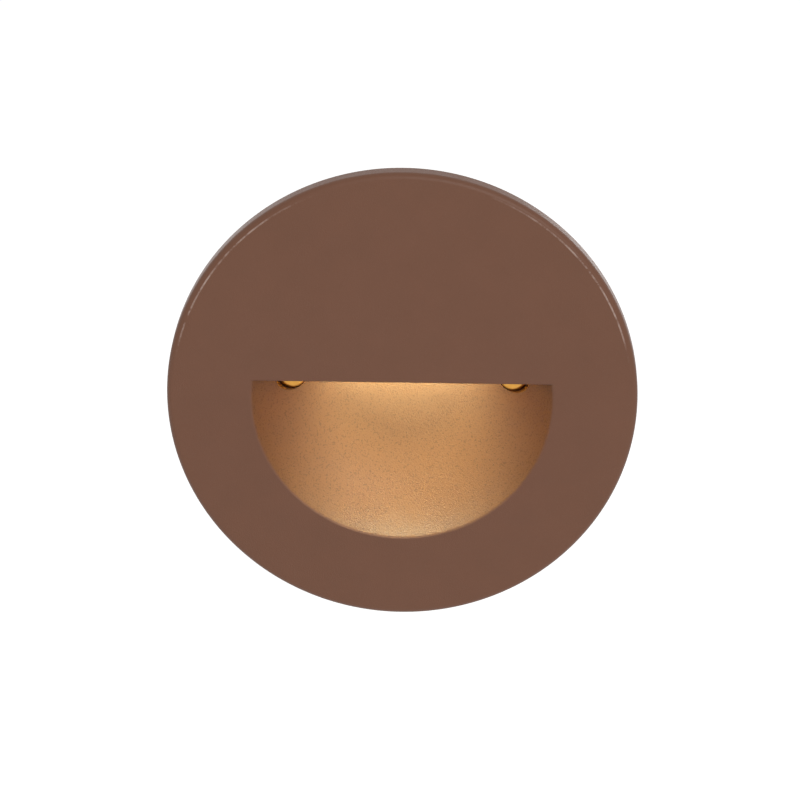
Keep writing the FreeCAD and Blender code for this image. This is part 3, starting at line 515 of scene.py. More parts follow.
@dataclass(frozen=True)
class PowderCoat(Finish):
    """Polyester powder sprayed on cast aluminium and baked.

    It flows into a soft orange peel, and metal flakes in it show as tiny pale specks. On the front
    edge a thin broken ring, high up at both sides, is painted lighter as a highlight. In the bowl a
    warm tint paints the amber of the LEDs' light, broken by darker specks of grain.
    """

    flake_colour: str = "A48B7C"
    flake_size: float = 0.5
    flake_share: float = 0.1
    flake_edge: Pair = (0.2, 0.05)
    # painted highlight: a lighter thin broken ring on the rim's front edge, high up at both sides
    highlight_colour: str = "B0968A"
    highlight_radius: float = 61.85
    highlight_width: float = 0.22
    highlight_from: float = 22.0
    highlight_patch: float = 5.0
    highlight_edge: Pair = (0.4, 0.6)
    # painted light: warm tints in the bowl that stand for the LEDs' amber light, darker in specks
    # of grain
    painted_led_tint: str = "FFF3CB"
    painted_led_speck_tint: str = "DCD1AF"
    speck_size: float = 0.45
    speck_edge: Pair = (0.36, 0.46)
    painted_led_radius: float = 42.0
    painted_led_start: float = -6.25
    painted_led_end: float = -5.9

    def reach(self, tree: Tree, place: Socket) -> Socket:
        """Measure how far a place is from the disc's axis.

        Args:
            tree: The material's node tree.
            place: The place on the object.

        Returns:
            The distance.
        """
        flat = add_node(tree, "VectorMath", {"operation": "MULTIPLY", 1: (1, 0, 1)}, {0: place})
        return add_node(
            tree, "VectorMath", {"operation": "LENGTH"}, {0: flat.outputs["Vector"]}
        ).outputs["Value"]

    def painted_led_light(self, tree: Tree, place: Socket, coat: Socket) -> Socket:
        """Warm the coat in the bowl with a painted tint that stands for the LEDs' amber light,
        broken by specks of grain.

        Args:
            tree: The material's node tree.
            place: The place on the object.
            coat: The coat's colour.

        Returns:
            The colour.
        """
        depth = add_node(tree, "SeparateXYZ", {}, {"Vector": place}).outputs["Y"]
        start, end = self.painted_led_start * MILLIMETRE, self.painted_led_end * MILLIMETRE
        sunk = add_node(tree, "MapRange", {"From Min": start, "From Max": end}, {"Value": depth})
        inside = add_node(
            tree,
            "Math",
            {"operation": "LESS_THAN", 1: self.painted_led_radius * MILLIMETRE},
            {0: self.reach(tree, place)},
        )
        share = add_node(
            tree,
            "Math",
            {"operation": "MULTIPLY"},
            {0: sunk.outputs["Result"], 1: inside.outputs["Value"]},
        )
        low, high = self.speck_edge
        specks = add_node(
            tree,
            "TexNoise",
            {"Scale": pattern_scale(self.speck_size), "Detail": 2.0},
            {"Vector": place},
        )
        clear = add_node(
            tree, "MapRange", {"From Min": low, "From Max": high}, {"Value": specks.outputs["Fac"]}
        )
        # both tints are warm, painting the LEDs' amber light; the darker one lies in the specks of
        # grain
        tint = add_node(
            tree,
            "Mix",
            {"data_type": "RGBA", 6: linear(self.painted_led_speck_tint), 7: linear(self.painted_led_tint)},
            {0: clear.outputs["Result"]},
        )
        return add_node(
            tree,
            "Mix",
            {"data_type": "RGBA", "blend_type": "MULTIPLY"},
            {0: share.outputs["Value"], 6: coat, 7: tint.outputs[2]},
        ).outputs[2]

    def edge_highlight(self, tree: Tree, place: Socket) -> Socket:
        """Find where a highlight is painted on the rim's front edge: a thin broken ring, high up at
        both sides.

        Args:
            tree: The material's node tree.
            place: The place on the object.

        Returns:
            The share that is painted as a highlight.
        """
        radius, width = self.highlight_radius * MILLIMETRE, self.highlight_width * MILLIMETRE
        ring = add_node(
            tree,
            "Math",
            {"operation": "COMPARE", 1: radius, 2: width},
            {0: self.reach(tree, place)},
        )
        places = add_node(tree, "SeparateXYZ", {}, {"Vector": place})
        aside = add_node(tree, "Math", {"operation": "ABSOLUTE"}, {0: places.outputs["X"]})
        patches = add_node(
            tree,
            "TexNoise",
            {"Scale": pattern_scale(self.highlight_patch), "Detail": 6.0, "Roughness": 0.8},
            {"Vector": place},
        )
        share, start = ring.outputs["Value"], self.highlight_from * MILLIMETRE
        for (low, high), source in (
            ((start, 2 * start), aside.outputs["Value"]),
            ((start / 2, start), places.outputs["Z"]),
            (self.highlight_edge, patches.outputs["Fac"]),
        ):
            limit = add_node(
                tree, "MapRange", {"From Min": low, "From Max": high}, {"Value": source}
            )
            share = add_node(
                tree, "Math", {"operation": "MULTIPLY"}, {0: share, 1: limit.outputs["Result"]}
            ).outputs["Value"]
        return share

    def tone(self, tree: Tree, place: Socket) -> Socket:
        """Lay pale flakes over the mottled coat, and paint a highlight on the rim's edge.

        Args:
            tree: The material's node tree.
            place: The place on the object.

        Returns:
            The colour.
        """
        # the bowl's warm tint is painted amber light from the LEDs
        coat = self.painted_led_light(tree, place, super().tone(tree, place))
        edge, middle = self.flake_edge
        cells = add_node(
            tree, "TexVoronoi", {"Scale": pattern_scale(self.flake_size)}, {"Vector": place}
        )
        flakes = add_node(
            tree,
            "MapRange",
            {"From Min": edge, "From Max": middle, "To Max": self.flake_share},
            {"Value": cells.outputs["Distance"]},
        )
        flaked = add_node(
            tree,
            "Mix",
            {"data_type": "RGBA", 7: linear(self.flake_colour)},
            {0: flakes.outputs["Result"], 6: coat},
        )
        # paint the highlight on the rim's front edge over the flaked coat
        return add_node(
            tree,
            "Mix",
            {"data_type": "RGBA", 7: linear(self.highlight_colour)},
            {0: self.edge_highlight(tree, place), 6: flaked.outputs[2]},
        ).outputs[2]


@dataclass(frozen=True)
class LitFrost(Finish):
    """Frosted acrylic with a row of LEDs behind it, seen as an evenly glowing warm strip."""

    glow_colour: str = "FFE05A"
    glow: float = 20.0

    def shade(self, shader: bpy.types.Node) -> None:
        """Add the glow to what is the same all over the surface.

        Args:
            shader: The material's shader.
        """
        super().shade(shader)
        shader.inputs["Emission Color"].default_value = linear(self.glow_colour)
        shader.inputs["Emission Strength"].default_value = self.glow


# Steel, cold headed and brass plated: a soft golden head that blurs what it mirrors
BRASSED = Finish("brass_plated_steel", "D6A050", "C48C40", 0.42, metallic=1.0, tone_size=2.0)

FINISHES: dict[str, Finish] = {
    # Polyester powder sprayed on die-cast aluminium and baked: satin brown bronze. Its orange
    # peel is about 0.4 mm wide, and stands higher here than the real few hundredths of a
    # millimetre, so that it shows: sandy where light grazes the bowl, an even satin on the face.
    "bronze_powder_coat": PowderCoat(
        "sprayed_bronze_powder_coat",
        "704A36",
        "78503C",
        roughness=0.42,
        specular=0.31,
        tone_size=9.0,
        grain_size=0.4,
        grain_height=0.07,
    ),
    # Acrylic, moulded and frosted: a milky strip that glows amber and hides the LEDs behind it
    "frosted_glass": LitFrost("frosted_acrylic", "F2E2C8", "EAD8BC", roughness=0.5, ior=1.49),
    # Stainless steel, cold headed and bright: pale sharp highlights on the head's edge
    "stainless_steel": Finish(
        "cold_headed_stainless_steel", "C6C4C0", "B9B7B3", 0.28, metallic=1.0, tone_size=2.0
    ),
    # Steel, pressed and zinc plated: a cool pale grey with slow cloudy patches
    "zinc_steel": Finish(
        "zinc_plated_steel", "BCBFC2", "AEB2B8", 0.38, metallic=1.0, tone_size=3.0
    ),
    # Closed-cell foam, cut from sheet: near black, with open cells that break the light up
    "black_foam": Finish(
        "closed_cell_foam", "1C1C1E", "242426", 0.9, grain_size=0.5, grain_height=0.12
    ),
    # Rubber, moulded: black and dull, with a faint bloom
    "black_rubber": Finish("moulded_rubber", "161616", "1D1D1D", 0.72, grain_size=0.3),
    # Silicone, cut from sheet: off-white with a waxy sheen
    "silicone": Finish("silicone_rubber", "DCD6CE", "D2CCC4", 0.55, ior=1.43),
    # Nylon, moulded in a lightly etched tool: black with a soft grey sheen
    "black_plastic": Finish("moulded_black_nylon", "1A1A1C", "202022", 0.45, grain_size=0.35),
    # White ABS, moulded: smooth and bright, so that it throws the LEDs' light on
    "white_plastic": Finish("moulded_white_abs", "EDEBE6", "E6E4DE", 0.4, ior=1.54),
    # Solder mask printed over aluminium and cured: a flat white with a slight gloss
    "board_white": Finish("white_solder_mask", "EAE8E2", "E2E0DA", 0.35),
    # Solder mask printed over glass fibre and cured: a deep glossy green
    "board_green": Finish("green_solder_mask", "1F5B3B", "1A5034", 0.3),
    # LED phosphor in clear resin, cast: a glossy yellow dot
    "amber_led": Finish("cast_led_phosphor", "F0B030", "F4BC48", 0.35),
    # Filled silicone, calendered into a sheet: matt grey
    "heat_pad_grey": Finish("silicone_heat_pad", "8F9AA0", "87929A", 0.7, ior=1.43),
    # Aluminium, punched from mill-finish sheet: a soft silver sheen
    "plain_aluminium": Finish("mill_finish_aluminium", "B6B8BA", "AAACAF", 0.35, metallic=1.0),
    # PVC, shrunk over the capacitor's can: taut, dark and glossy
    "capacitor_sleeve": Finish("shrunk_pvc_sleeve", "20242C", "262A33", 0.3, ior=1.53),
    # Ferrite, pressed and fired: charcoal, with a dull ceramic surface
    "ferrite": Finish("pressed_ferrite", "2D2C2E", "353436", 0.65),
    # Nylon, moulded in green: plain satin
    "terminal_green": Finish("moulded_green_nylon", "2F7D46", "2A7340", 0.4),
    # PVC, extruded over copper strands: an even satin
    "red_wire": Finish("extruded_red_pvc", "B41E1A", "AA1C18", 0.4, ior=1.53),
    "black_wire": Finish("extruded_black_pvc", "181818", "1E1E1E", 0.4, ior=1.53),
}


# ---- Pieces ----


def finish_piece(
    mesh: Mesh, node: str, finish_slot: str, soften: float = 0.0, finish: Finish | None = None
) -> None:
    """Turn a solid in mm into a finished piece that stands for its CAD node.

    Args:
        mesh: The solid.
        node: The CAD node that it replaces.
        finish_slot: The record's material slot.
        soften: The radius of its edges, or 0 to leave them.
        finish: Its finish, where that isn't the slot's usual one.
    """
    bmesh.ops.scale(mesh, vec=(MILLIMETRE,) * 3, verts=mesh.verts)
    for face in mesh.faces:
        face.smooth = True
    for edge in mesh.edges:
        edge.smooth = edge.calc_face_angle(0.0) < SHARP_ANGLE
    piece = object_of(mesh, f"{node}_dressed")
    piece.data.materials.append((finish or FINISHES[finish_slot]).material())
    if soften:
        bevel = piece.modifiers.new("edges", "BEVEL")
        bevel.width = soften * MILLIMETRE
        bevel.segments = SOFT_SEGMENTS
        bevel.limit_method = "ANGLE"
        bevel.angle_limit = SHARP_ANGLE
    piece.modifiers.new("normals", "WEIGHTED_NORMAL").keep_sharp = True
    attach(piece, "root")
    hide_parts(node)
    log.info("%s: %d faces", piece.name, len(piece.data.polygons))


@dataclass
class FrontCasting:
    """The die-cast disc with its lid, bowl and, behind them, the D-shaped housing."""

    radius: float = 63.5
    face: float = -6.3
    edge_round: float = 1.7
    rim_back: float = -1.0
    rim_wall: float = 3.4
    skin: float = 2.6
    window: float = 40.7
    mouth_round: float = 0.5
    mouth_segments: int = 4
    lid: float = 4.45
    bowl_floor: float = 6.2
    bowl_curve: float = 34.8
    bowl_wall: float = 2.0
    ceiling: float = 9.0
    ceiling_thickness: float = 2.0
    housing: float = 43.5
    housing_wall: float = 2.2
    housing_back: float = 22.0
    slot: Triple = (46.0, 6.6, 1.0)
    slot_middle: float = 1.25
    screw_places: tuple[Pair, ...] = ((-30.1, 3.1), (30.1, 3.1))
    pocket_radius: float = 4.2
    pocket_floor: float = 5.0
    screw_boss: float = 5.5
    screw_hole: float = 1.95
    screw_boss_back: float = 8.9
    cover_boss: float = 3.4
    cover_boss_front: float = 6.2
    cover_hole: float = 1.55
    cover_hole_depth: float = 9.5
    cover_places: tuple[Pair, ...] = ((0, 38.9), (-36.076, 14.55), (36.076, 14.55))
    carrier_places: tuple[Pair, ...] = ((-29.367, 14.6), (29.367, 14.6))
    carrier_post: Pair = (2.8, 22.2)
    frame_places: tuple[Pair, ...] = ((-29.3, 1.25), (29.3, 1.25))
    frame_boss: Pair = (2.1, 13.6)
    post_root: float = 0.5
    lid_block: float = 20.0
    lid_corner: float = 1.0
    edge_steps: int = 14
    back_steps: int = 16
    bowl_steps: int = 20

    @property
    def back(self) -> float:
        """Where the disc's skin ends."""
        return self.face + self.skin

    @property
    def bowl_centre(self) -> float:
        """How deep the centre of the bowl's curve lies."""
        return self.bowl_floor - self.bowl_curve

    @property
    def bowl_flat(self) -> float:
        """The radius of the bowl's flat floor, so that its curve meets the window's edge."""
        return self.window - math.sqrt(self.bowl_curve**2 - (self.face - self.bowl_centre) ** 2)

    def plate(self) -> Mesh:
        """Turn the disc, its rim and the outside of the bowl.

        Returns:
            The solid.
        """
        flat, inside = self.radius - self.edge_round, self.radius - self.rim_wall
        bowl_radius = self.bowl_curve + self.bowl_wall
        sunk = self.back - self.bowl_centre
        start = math.degrees(math.asin(sunk / bowl_radius))
        outline = Outline(0, self.face).to(flat, self.face)
        outline.arc(flat, self.face + self.edge_round, 90, self.edge_steps)
        outline.to(self.radius, self.rim_back).to(inside, self.rim_back).to(inside, self.back)
        outline.to(self.bowl_flat + math.sqrt(bowl_radius**2 - sunk**2), self.back)
        outline.arc(self.bowl_flat, self.bowl_centre, 90 - start, self.back_steps)
        return outline.to(0, self.bowl_floor + self.bowl_wall).turned(ROUND_STEPS)

    def recess(self) -> Mesh:
        """Turn the bowl's hollow, cut it flat under the ceiling and leave room for the lid.

        Returns:
            The solid to cut.
        """
        start = math.degrees(math.asin((self.face - self.bowl_centre) / self.bowl_curve))
        outline = Outline(0, self.face - PAST).to(self.window, self.face - PAST)
        outline.to(self.window, self.face)
        outline.arc(self.bowl_flat, self.bowl_centre, 90 - start, self.bowl_steps)
        hollow = outline.to(0, self.bowl_floor).turned(ROUND_STEPS)
        cut = bmesh.ops.bisect_plane(
            hollow,
            geom=hollow.verts[:] + hollow.edges[:] + hollow.faces[:],
            plane_co=(0, 0, self.ceiling),
            plane_no=(0, 0, 1),
            clear_outer=True,
        )
        rim = [item for item in cut["geom_cut"] if isinstance(item, bmesh.types.BMEdge)]
        bmesh.ops.contextual_create(hollow, geom=rim)
        lid = rounded_box(3 * self.window, self.lid_block, self.lid_corner)
        lid = lid.raised(self.face - 2 * PAST, self.back, Lie.WALL)
        return combined(closed(hollow), [moved(lid, z=self.lid + self.lid_block / 2)], Join.CUT)

    def housing_shell(self) -> Mesh:
        """Make the D-shaped wall, with the ceiling of the recess as its straight side.

        Returns:
            The solid, open in front where the disc closes it.
        """
        front = self.back - PAST
        shell = half_moon(self.housing, self.ceiling).raised(front, self.housing_back, Lie.WALL)
        room = half_moon(self.housing - self.housing_wall, self.ceiling + self.ceiling_thickness)
        cavity = room.raised(front - PAST, self.housing_back + PAST, Lie.WALL)
        return combined(shell, [cavity], Join.CUT)

    def posts(self) -> list[Mesh]:
        """Make the bosses and posts that screws go into.

        Returns:
            The solids.
        """
        root = self.ceiling + self.ceiling_thickness - self.post_root
        made = rods(self.screw_boss, self.back, self.screw_boss_back, self.screw_places)
        made += rods(self.cover_boss, self.cover_boss_front, self.housing_back, self.cover_places)
        for (radius, top), places in (
            (self.carrier_post, self.carrier_places),
            (self.frame_boss, self.frame_places),
        ):
            made += rods(radius, root, top, places, Lie.FLAT)
        return made

    def holes(self) -> list[Mesh]:
        """Make the light slot, the screw pockets and the screw holes.

        Returns:
            The solids to cut.
        """
        slot_end = self.ceiling + self.ceiling_thickness + PAST
        slot = rounded_box(*self.slot).raised(self.ceiling - PAST, slot_end)
        made = [moved(slot, y=self.slot_middle)]
        floor, back = self.pocket_floor, self.screw_boss_back + PAST
        for place in self.screw_places:
            made += rods(self.pocket_radius, self.back, floor, [place])
            made += rods(self.screw_hole, floor - PAST, back, [place])
        start = self.housing_back - self.cover_hole_depth
        return made + rods(self.cover_hole, start, self.housing_back + PAST, self.cover_places)

    def build(self) -> None:
        """Join the solids, cut the hollows and round the mouth's edge."""
        body = combined(self.plate(), [self.housing_shell(), *self.posts()], Join.ADD)
        body = combined(body, [self.recess(), *self.holes()], Join.CUT)
        self.round_mouth(body)
        finish_piece(body, "front_casting", "bronze_powder_coat")

    def round_mouth(self, body: Mesh) -> None:
        """Round the sharp edge of the recess's mouth.

        Args:
            body: The casting.
        """
        front = [corner for corner in body.verts if abs(corner.co.y - self.face) < MERGE_DISTANCE]
        flat = dict.fromkeys(edge for corner in front for edge in corner.link_edges)
        bmesh.ops.dissolve_limit(body, angle_limit=FLAT_ANGLE, verts=front, edges=list(flat))
        mouth = [
            edge
            for edge in body.edges
            if all(
                abs(corner.co.y - self.face) < MERGE_DISTANCE
                and math.hypot(corner.co.x, corner.co.z) < self.window + PAST
                for corner in edge.verts
            )
            and edge.calc_face_angle(0.0) > SHARP_ANGLE
        ]
        bmesh.ops.bevel(
            body,
            geom=mouth,
            offset=self.mouth_round,
            affect="EDGES",
            segments=self.mouth_segments,
            profile=0.5,
            material=-1,
        )


@dataclass
class LightStrip:
    """The frosted strip above the recess, and the beams that its LEDs send down through it."""

    length: float = 53.0
    width: float = 9.6
    corner: float = 1.0
    middle: float = 1.25
    base: float = 11.6
    thickness: float = 2.0
    edge_round: float = 0.2
    beam_place: Triple = (0.0, -2.35, 8.9)
    beam_length: float = 40.0
    beam_width: float = 2.7

    def build(self) -> None:
        """Make the strip."""
        strip = rounded_box(self.length, self.width, self.corner)
        strip = moved(strip.raised(self.base, self.base + self.thickness), y=self.middle)
        finish_piece(strip, "lens", "frosted_glass", self.edge_round)

    def shine(self, tilt: float, spread: float, power: float, colour: str) -> None:
        """Hang a beam of the LEDs behind the lid.

        Args:
            tilt: How far it leans into the bowl, in degrees.
            spread: The angle that it fans out to, in degrees.
            power: Its power in watts.
            colour: Its colour.
        """
        data = bpy.data.lights.new("led_beam", "AREA")
        data.shape = "RECTANGLE"
        data.size = self.beam_length * MILLIMETRE
        data.size_y = self.beam_width * MILLIMETRE
        data.spread = math.radians(spread)
        data.energy = power
        data.color = linear(colour)[:3]
        made = bpy.data.objects.new("led_beam", data)
        lean = Matrix.Rotation(math.radians(tilt), 4, "X")
        made.matrix_world = Matrix.Translation(Vector(self.beam_place) * MILLIMETRE) @ lean
        made.visible_camera = False
        bpy.context.scene.collection.objects.link(made)


@dataclass
class PanScrews:
    """Pan-head or truss-head screws with a cross recess, all along the Y axis."""

    node: str
    places: tuple[Pair, ...]
    seat: float
    towards: int
    shank: float
    length: float
    head: float
    height: float
    arm: float
    arm_width: float
    arm_depth: float
    hub: float = 0.8
    hub_depth: float = 0.9
    tip: float = 0.5
    finish: Finish | None = None

    def one(self) -> Mesh:
        """Turn a screw whose head lies in front of the plane y = 0, and press its recess.

        Returns:
            The solid.
        """
        curve, end = self.height / 2, self.length
        outline = Outline(0, -self.height).to(self.head - curve, -self.height)
        outline.arc(self.head - curve, -curve, 90, SHORT_ARC_STEPS).to(self.head, 0)
        outline.to(self.shank, 0).to(self.shank, end - self.tip).to(self.shank - self.tip, end)
        screw = outline.to(0, end).turned()
        front, floor = -self.height - PAST, self.arm_depth - self.height
        across = rounded_box(self.arm, self.arm_width, self.arm_width / 4)
        upright = rounded_box(self.arm_width, self.arm, self.arm_width / 4)
        recess = [
            across.raised(front, floor, Lie.WALL),
            upright.raised(front, floor, Lie.WALL),
            rod(self.hub, front, self.hub_depth - self.height),
        ]
        return combined(screw, recess, Join.CUT)

    def build(self) -> None:
        """Make every screw of the set in its place."""
        made = []
        for across, up in self.places:
            screw = self.one()
            if self.towards < 0:
                bmesh.ops.rotate(screw, matrix=Matrix.Rotation(math.pi, 3, "Z"), verts=screw.verts)
            made.append(moved(screw, across, self.seat, up))
        finish_piece(together(made), self.node, "stainless_steel", finish=self.finish)


@dataclass
class WallMount:
    """What fastens the light: the foam ring, the strap behind the bowl and its two nuts."""

    foam_inside: float = 60.1
    foam_outside: float = 62.9
    foam: float = 1.0
    sheet: float = 1.5
    sheet_edge: float = 0.15
    bend: float = 1.2
    leg: float = 44.5
    foot_end: float = 58.0
    back: float = 10.1
    half_height: float = 8.0
    slot: Triple = (9.0, 4.5, 2.25)
    slot_place: float = 51.5
    nut_places: tuple[Pair, ...] = FrontCasting.screw_places
    nut_bore: float = 1.8
    nut_barrel: float = 2.75
    nut_flange: float = 4.0
    nut_lip: float = 0.8
    nut_length: float = 8.0
    nut_edge: float = 0.1
    nut_fit: float = 0.05

    def gasket(self) -> None:
        """Turn the foam ring."""
        outline = Outline(self.foam_inside, -self.foam).to(self.foam_outside, -self.foam)
        outline.to(self.foam_outside, 0).to(self.foam_inside, 0)
        ring = outline.to(self.foam_inside, -self.foam).turned(ROUND_STEPS)
        finish_piece(ring, "wall_gasket", "black_foam")

    def strap(self) -> None:
        """Bend the strap, then punch its slots and nut holes."""
        outside, flat_back, bend = self.leg + self.sheet, self.back + self.sheet, self.bend
        outline = Outline(self.foot_end, -self.sheet).to(self.foot_end, 0).to(outside, 0)
        outline.to(outside, flat_back - bend).arc(outside - bend, flat_back - bend, 90)
        outline.to(bend - outside, flat_back).arc(bend - outside, flat_back - bend, 90)
        outline.to(-outside, 0).to(-self.foot_end, 0).to(-self.foot_end, -self.sheet)
        outline.to(-self.leg - bend, -self.sheet).arc(-self.leg - bend, bend - self.sheet, 90)
        outline.to(-self.leg, self.back).to(self.leg, self.back)
        outline.to(self.leg, bend - self.sheet).arc(self.leg + bend, bend - self.sheet, 90)
        strap = outline.raised(-self.half_height, self.half_height)
        punches = [
            moved(rounded_box(*self.slot).raised(-self.sheet - PAST, PAST, Lie.WALL), x=side)
            for side in (-self.slot_place, self.slot_place)
        ]
        nut_hole = self.nut_barrel + self.nut_fit
        punches += rods(nut_hole, self.back - PAST, flat_back + PAST, self.nut_places)
        made = combined(strap, punches, Join.CUT)
        finish_piece(made, "mounting_bracket", "zinc_steel", self.sheet_edge)

    def nuts(self) -> None:
        """Turn the two rivet nuts."""
        made = []
        for across, up in self.nut_places:
            outline = Outline(self.nut_bore, self.back - self.nut_lip)
            outline.to(self.nut_flange, self.back - self.nut_lip).to(self.nut_flange, self.back)
            outline.to(self.nut_barrel, self.back).to(self.nut_barrel, self.back + self.nut_length)
            outline.to(self.nut_bore, self.back + self.nut_length)
            nut = outline.to(self.nut_bore, self.back - self.nut_lip).turned()
            made.append(moved(nut, across, 0, up))
        finish_piece(together(made), "bracket_nuts", "zinc_steel", self.nut_edge)


@dataclass
class RearCover:
    """The D-shaped plate that closes the housing."""

    radius: float = FrontCasting.housing
    base: float = FrontCasting.ceiling
    front: float = 23.0
    thickness: float = 2.5
    edge_round: float = 0.4
    places: tuple[Pair, ...] = FrontCasting.cover_places
    screw_hole: float = 1.7
    gland_height: float = 19.5
    gland_hole: float = 5.15

    def build(self) -> None:
        """Cut the plate and its holes."""
        back = self.front + self.thickness
        plate = half_moon(self.radius, self.base).raised(self.front, back, Lie.WALL)
        start, end = self.front - PAST, back + PAST
        holes = rods(self.screw_hole, start, end, self.places)
        holes += rods(self.gland_hole, start, end, [(0, self.gland_height)])
        made = combined(plate, holes, Join.CUT)
        finish_piece(made, "rear_cover", "bronze_powder_coat", self.edge_round)


@dataclass
class Gland:
    """Cable gland: hexagon flange, threaded spigot and a domed hexagon cap over a rubber bush."""

    height: float = 19.5
    flange_front: float = 25.5
    flange_flats: float = 14.0
    flange: float = 2.5
    stem: float = 5.0
    stem_front: float = 20.25
    stem_step: float = 0.5
    spigot: float = 5.3
    spigot_back: float = 33.0
    bore: float = 3.3
    seat: float = 4.3
    thread_pitch: float = 1.0
    thread_depth: float = 0.35
    bush: float = 4.25
    bush_bore: float = 2.75
    bush_length: float = 4.0
    cap_front: float = 28.5
    cap_back: float = 34.8
    cap_flats: float = 13.0
    cap_opening: float = 2.95
    cap_inside: float = 5.35
    cap_dome: float = 1.4
    chamfer: float = 0.7

    def hexagon(self, flats: float, front: float, back: float, dome: float) -> Mesh:
        """Make a hexagon whose corners are turned off at both ends.

        Args:
            flats: The size across its flats.
            front: Where it starts.
            back: Where it ends.
            dome: How far its back end is rounded.

        Returns:
            The solid.
        """
        corner = flats / 2 / math.cos(math.pi / HEXAGON_STEPS)
        block = disc(corner, HEXAGON_STEPS).raised(front, back, Lie.WALL)
        outline = Outline(0, front).to(corner - self.chamfer, front)
        outline.to(corner, front + self.chamfer / 2).to(corner, back - dome)
        outline.arc(corner - dome, back - dome, 90, SHORT_ARC_STEPS).to(0, back)
        return combined(block, [outline.turned()], Join.SHARE)

    def body(self) -> None:
        """Make the flange, the stem and the threaded spigot, and bore them."""
        flange_back = self.flange_front + self.flange
        flange = self.hexagon(self.flange_flats, self.flange_front, flange_back, self.chamfer)
        outline = Outline(0, self.stem_front).to(self.stem, self.stem_front)
        outline.to(self.stem, flange_back - self.stem_step).to(self.spigot, flange_back)
        for turn in range(int((self.spigot_back - flange_back) / self.thread_pitch)):
            start = flange_back + turn * self.thread_pitch
            outline.to(self.spigot - self.thread_depth, start + self.thread_pitch / 2)
            outline.to(self.spigot, start + self.thread_pitch)
        spindle = outline.to(0, self.spigot_back).turned()
        end = self.spigot_back + PAST
        bores = [
            rod(self.bore, self.stem_front - PAST, end),
            rod(self.seat, self.spigot_back - self.bush_length, end),
        ]
        made = combined(combined(flange, [spindle], Join.ADD), bores, Join.CUT)
        finish_piece(moved(made, z=self.height), "gland_body", "black_plastic")

    def rubber(self) -> None:
        """Turn the bush that grips the cable."""
        front = self.spigot_back - self.bush_length
        outline = Outline(self.bush_bore, front).to(self.bush, front)
        outline.to(self.bush, self.spigot_back).to(self.bush_bore, self.spigot_back)
        ring = outline.to(self.bush_bore, front).turned()
        finish_piece(moved(ring, z=self.height), "gland_bush", "black_rubber")

    def cap(self) -> None:
        """Make the domed cap and hollow it."""
        block = self.hexagon(self.cap_flats, self.cap_front, self.cap_back, self.cap_dome)
        hollows = [
            rod(self.cap_inside, self.cap_front - PAST, self.spigot_back),
            rod(self.cap_opening, self.cap_front - PAST, self.cap_back + PAST),
        ]
        made = combined(block, hollows, Join.CUT)
        finish_piece(moved(made, z=self.height), "gland_cap", "black_plastic")


def dress_cad_nodes() -> None:
    """Give every CAD node the finish of its slot, so that those left in view have it."""
    slots = {part["node"]: part["material_slot"] for part in frame["record"]["subparts"]}
    for node, item in frame["nodes"].items():
        item.data.materials.clear()
        item.data.materials.append(FINISHES[slots[node]].material())


SCREW_SETS = (
    PanScrews(
        node="face_screws",
        places=FrontCasting.screw_places,
        seat=FrontCasting.pocket_floor,
        towards=1,
        shank=1.75,
        length=12.0,
        head=4.0,
        height=2.4,
        arm=3.6,
        arm_width=0.9,
        arm_depth=1.2,
        finish=BRASSED,
    ),
    PanScrews(
        node="cover_screws",
        places=RearCover.places,
        seat=RearCover.front + RearCover.thickness,
        towards=-1,
        shank=1.5,
        length=12.0,
        head=2.8,
        height=2.2,
        arm=2.8,
        arm_width=0.7,
        arm_depth=1.0,
    ),
)


# ---- Studio ----


@dataclass
class Camera:
    """A long lens in front of the light, above it and a little to its right."""

    lens: float = 180.0
    yaw: float = 1.33
    pitch: float = 21.11
    roll: float = 0.33
    distance: float = 1077.5
    aim_right: float = -0.50
    aim_up: float = -0.39
    face: float = FrontCasting.face

    def place(self) -> None:
        """Make the camera and use it."""
        yaw, pitch, roll = (math.radians(angle) for angle in (self.yaw, self.pitch, self.roll))
        forward = Vector(
            (-math.sin(yaw) * math.cos(pitch), math.cos(yaw) * math.cos(pitch), -math.sin(pitch))
        )
        right = Vector((math.cos(yaw), math.sin(yaw), 0))
        up = right.cross(forward)
        across = math.cos(roll) * right + math.sin(roll) * up
        upright = math.cos(roll) * up - math.sin(roll) * right
        target = Vector((0, self.face, 0)) + right * self.aim_right + up * self.aim_up
        data = bpy.data.cameras.new("camera")
        data.lens = self.lens
        made = bpy.data.objects.new("camera", data)
        turned = Matrix((across, upright, -forward)).transposed().to_4x4()
        turned.translation = (target - forward * self.distance) * MILLIMETRE
        made.matrix_world = turned
        bpy.context.scene.collection.objects.link(made)
        bpy.context.scene.camera = made


@dataclass(frozen=True)
class Lamp:
    """A square soft box that faces the light."""

    name: str
    place: Triple
    size: float
    power: float

    def hang(self) -> None:
        """Hang the lamp, aimed at the origin."""
        data = bpy.data.lights.new(self.name, "AREA")
        data.size = self.size
        data.energy = self.power
        made = bpy.data.objects.new(self.name, data)
        aim = (-Vector(self.place)).to_track_quat("-Z", "Y")
        made.matrix_world = Matrix.LocRotScale(Vector(self.place), aim, None)
        bpy.context.scene.collection.objects.link(made)


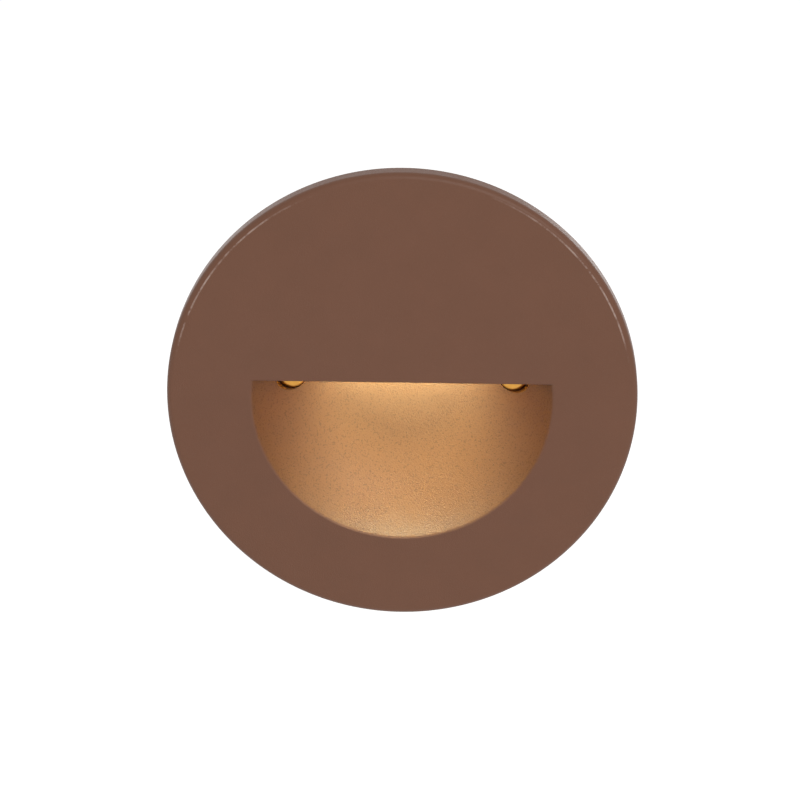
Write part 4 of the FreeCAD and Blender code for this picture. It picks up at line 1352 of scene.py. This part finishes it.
@dataclass
class Studio:
    """A white room: a pale floor far below, a white surround and soft boxes."""

    floor_height: float = -0.45
    floor_reach: float = 6.0
    floor_lift: float = 0.53
    surround: float = 0.52
    lamps: tuple[Lamp, ...] = (
        Lamp("front", (0.6, -1.7, 0.9), 1.2, 13.0),
        Lamp("behind_left", (-0.7, 1.5, 0.05), 0.5, 0.7),
        Lamp("behind_right", (0.7, 1.5, 0.05), 0.5, 1.6),
    )

    def seen(self, tree: Tree) -> Socket:
        """Tell rays that show the room, to the camera or in metal and glass, from the others.

        Args:
            tree: The node tree.

        Returns:
            1 for such a ray, else 0.
        """
        rays = add_node(tree, "LightPath")
        share = rays.outputs["Is Camera Ray"]
        for kind in ("Is Glossy Ray", "Is Transmission Ray"):
            share = add_node(
                tree, "Math", {"operation": "MAXIMUM"}, {0: share, 1: rays.outputs[kind]}
            ).outputs["Value"]
        return share

    def floor(self) -> None:
        """Lay the floor, white to the camera except for the object's shadow."""
        mesh = bmesh.new()
        bmesh.ops.create_grid(mesh, x_segments=1, y_segments=1, size=self.floor_reach)
        moved(mesh, z=self.floor_height)
        made = object_of(mesh, "floor")
        paint = bpy.data.materials.new("matt_white_floor")
        paint.use_nodes = True
        tree = paint.node_tree
        tree.nodes.clear()
        matt = add_node(tree, "BsdfDiffuse", {"Color": linear("F4F4F4")})
        lifted = add_node(tree, "MapRange", {"To Max": self.floor_lift}, {"Value": self.seen(tree)})
        lift = add_node(tree, "Emission", {}, {"Strength": lifted.outputs["Result"]})
        both = add_node(tree, "AddShader", {}, {0: matt.outputs[0], 1: lift.outputs[0]})
        add_node(tree, "OutputMaterial", {}, {"Surface": both.outputs[0]})
        made.data.materials.append(paint)

    def world(self) -> None:
        """Make the surround: white to the camera, and plain soft light for the object."""
        made = bpy.data.worlds.new("white_room")
        bpy.context.scene.world = made
        made.use_nodes = True
        tree = made.node_tree
        tree.nodes.clear()
        strength = add_node(
            tree, "MapRange", {"To Min": self.surround, "To Max": 1.0}, {"Value": self.seen(tree)}
        )
        shown = {"Strength": strength.outputs["Result"]}
        light = add_node(tree, "Background", {"Color": linear("FFFFFF")}, shown)
        add_node(tree, "OutputWorld", {}, {"Surface": light.outputs[0]})

    def set_up(self) -> None:
        """Make the room, its lamps and the camera, and show colours as they are."""
        self.floor()
        self.world()
        for lamp in self.lamps:
            lamp.hang()
        Camera().place()
        bpy.context.scene.view_settings.view_transform = "Standard"


def main() -> None:
    """Build the pieces in order, dress the rest and set up the studio."""
    logging.basicConfig(level=logging.INFO, format="%(name)s: %(message)s")
    FrontCasting().build()
    for screws in SCREW_SETS:
        screws.build()
    strip = LightStrip()
    strip.build()
    # what the strip throws on the bowl's floor, and what falls past it on the lower lip
    strip.shine(tilt=24.0, spread=116.0, power=0.0212, colour="BAF2FF")
    strip.shine(tilt=0.0, spread=64.0, power=0.0096, colour="EDFFD6")
    mount = WallMount()
    mount.gasket()
    mount.strap()
    mount.nuts()
    RearCover().build()
    gland = Gland()
    gland.body()
    gland.rubber()
    gland.cap()
    dress_cad_nodes()
    Studio().set_up()


if __name__ == "__main__":
    main()
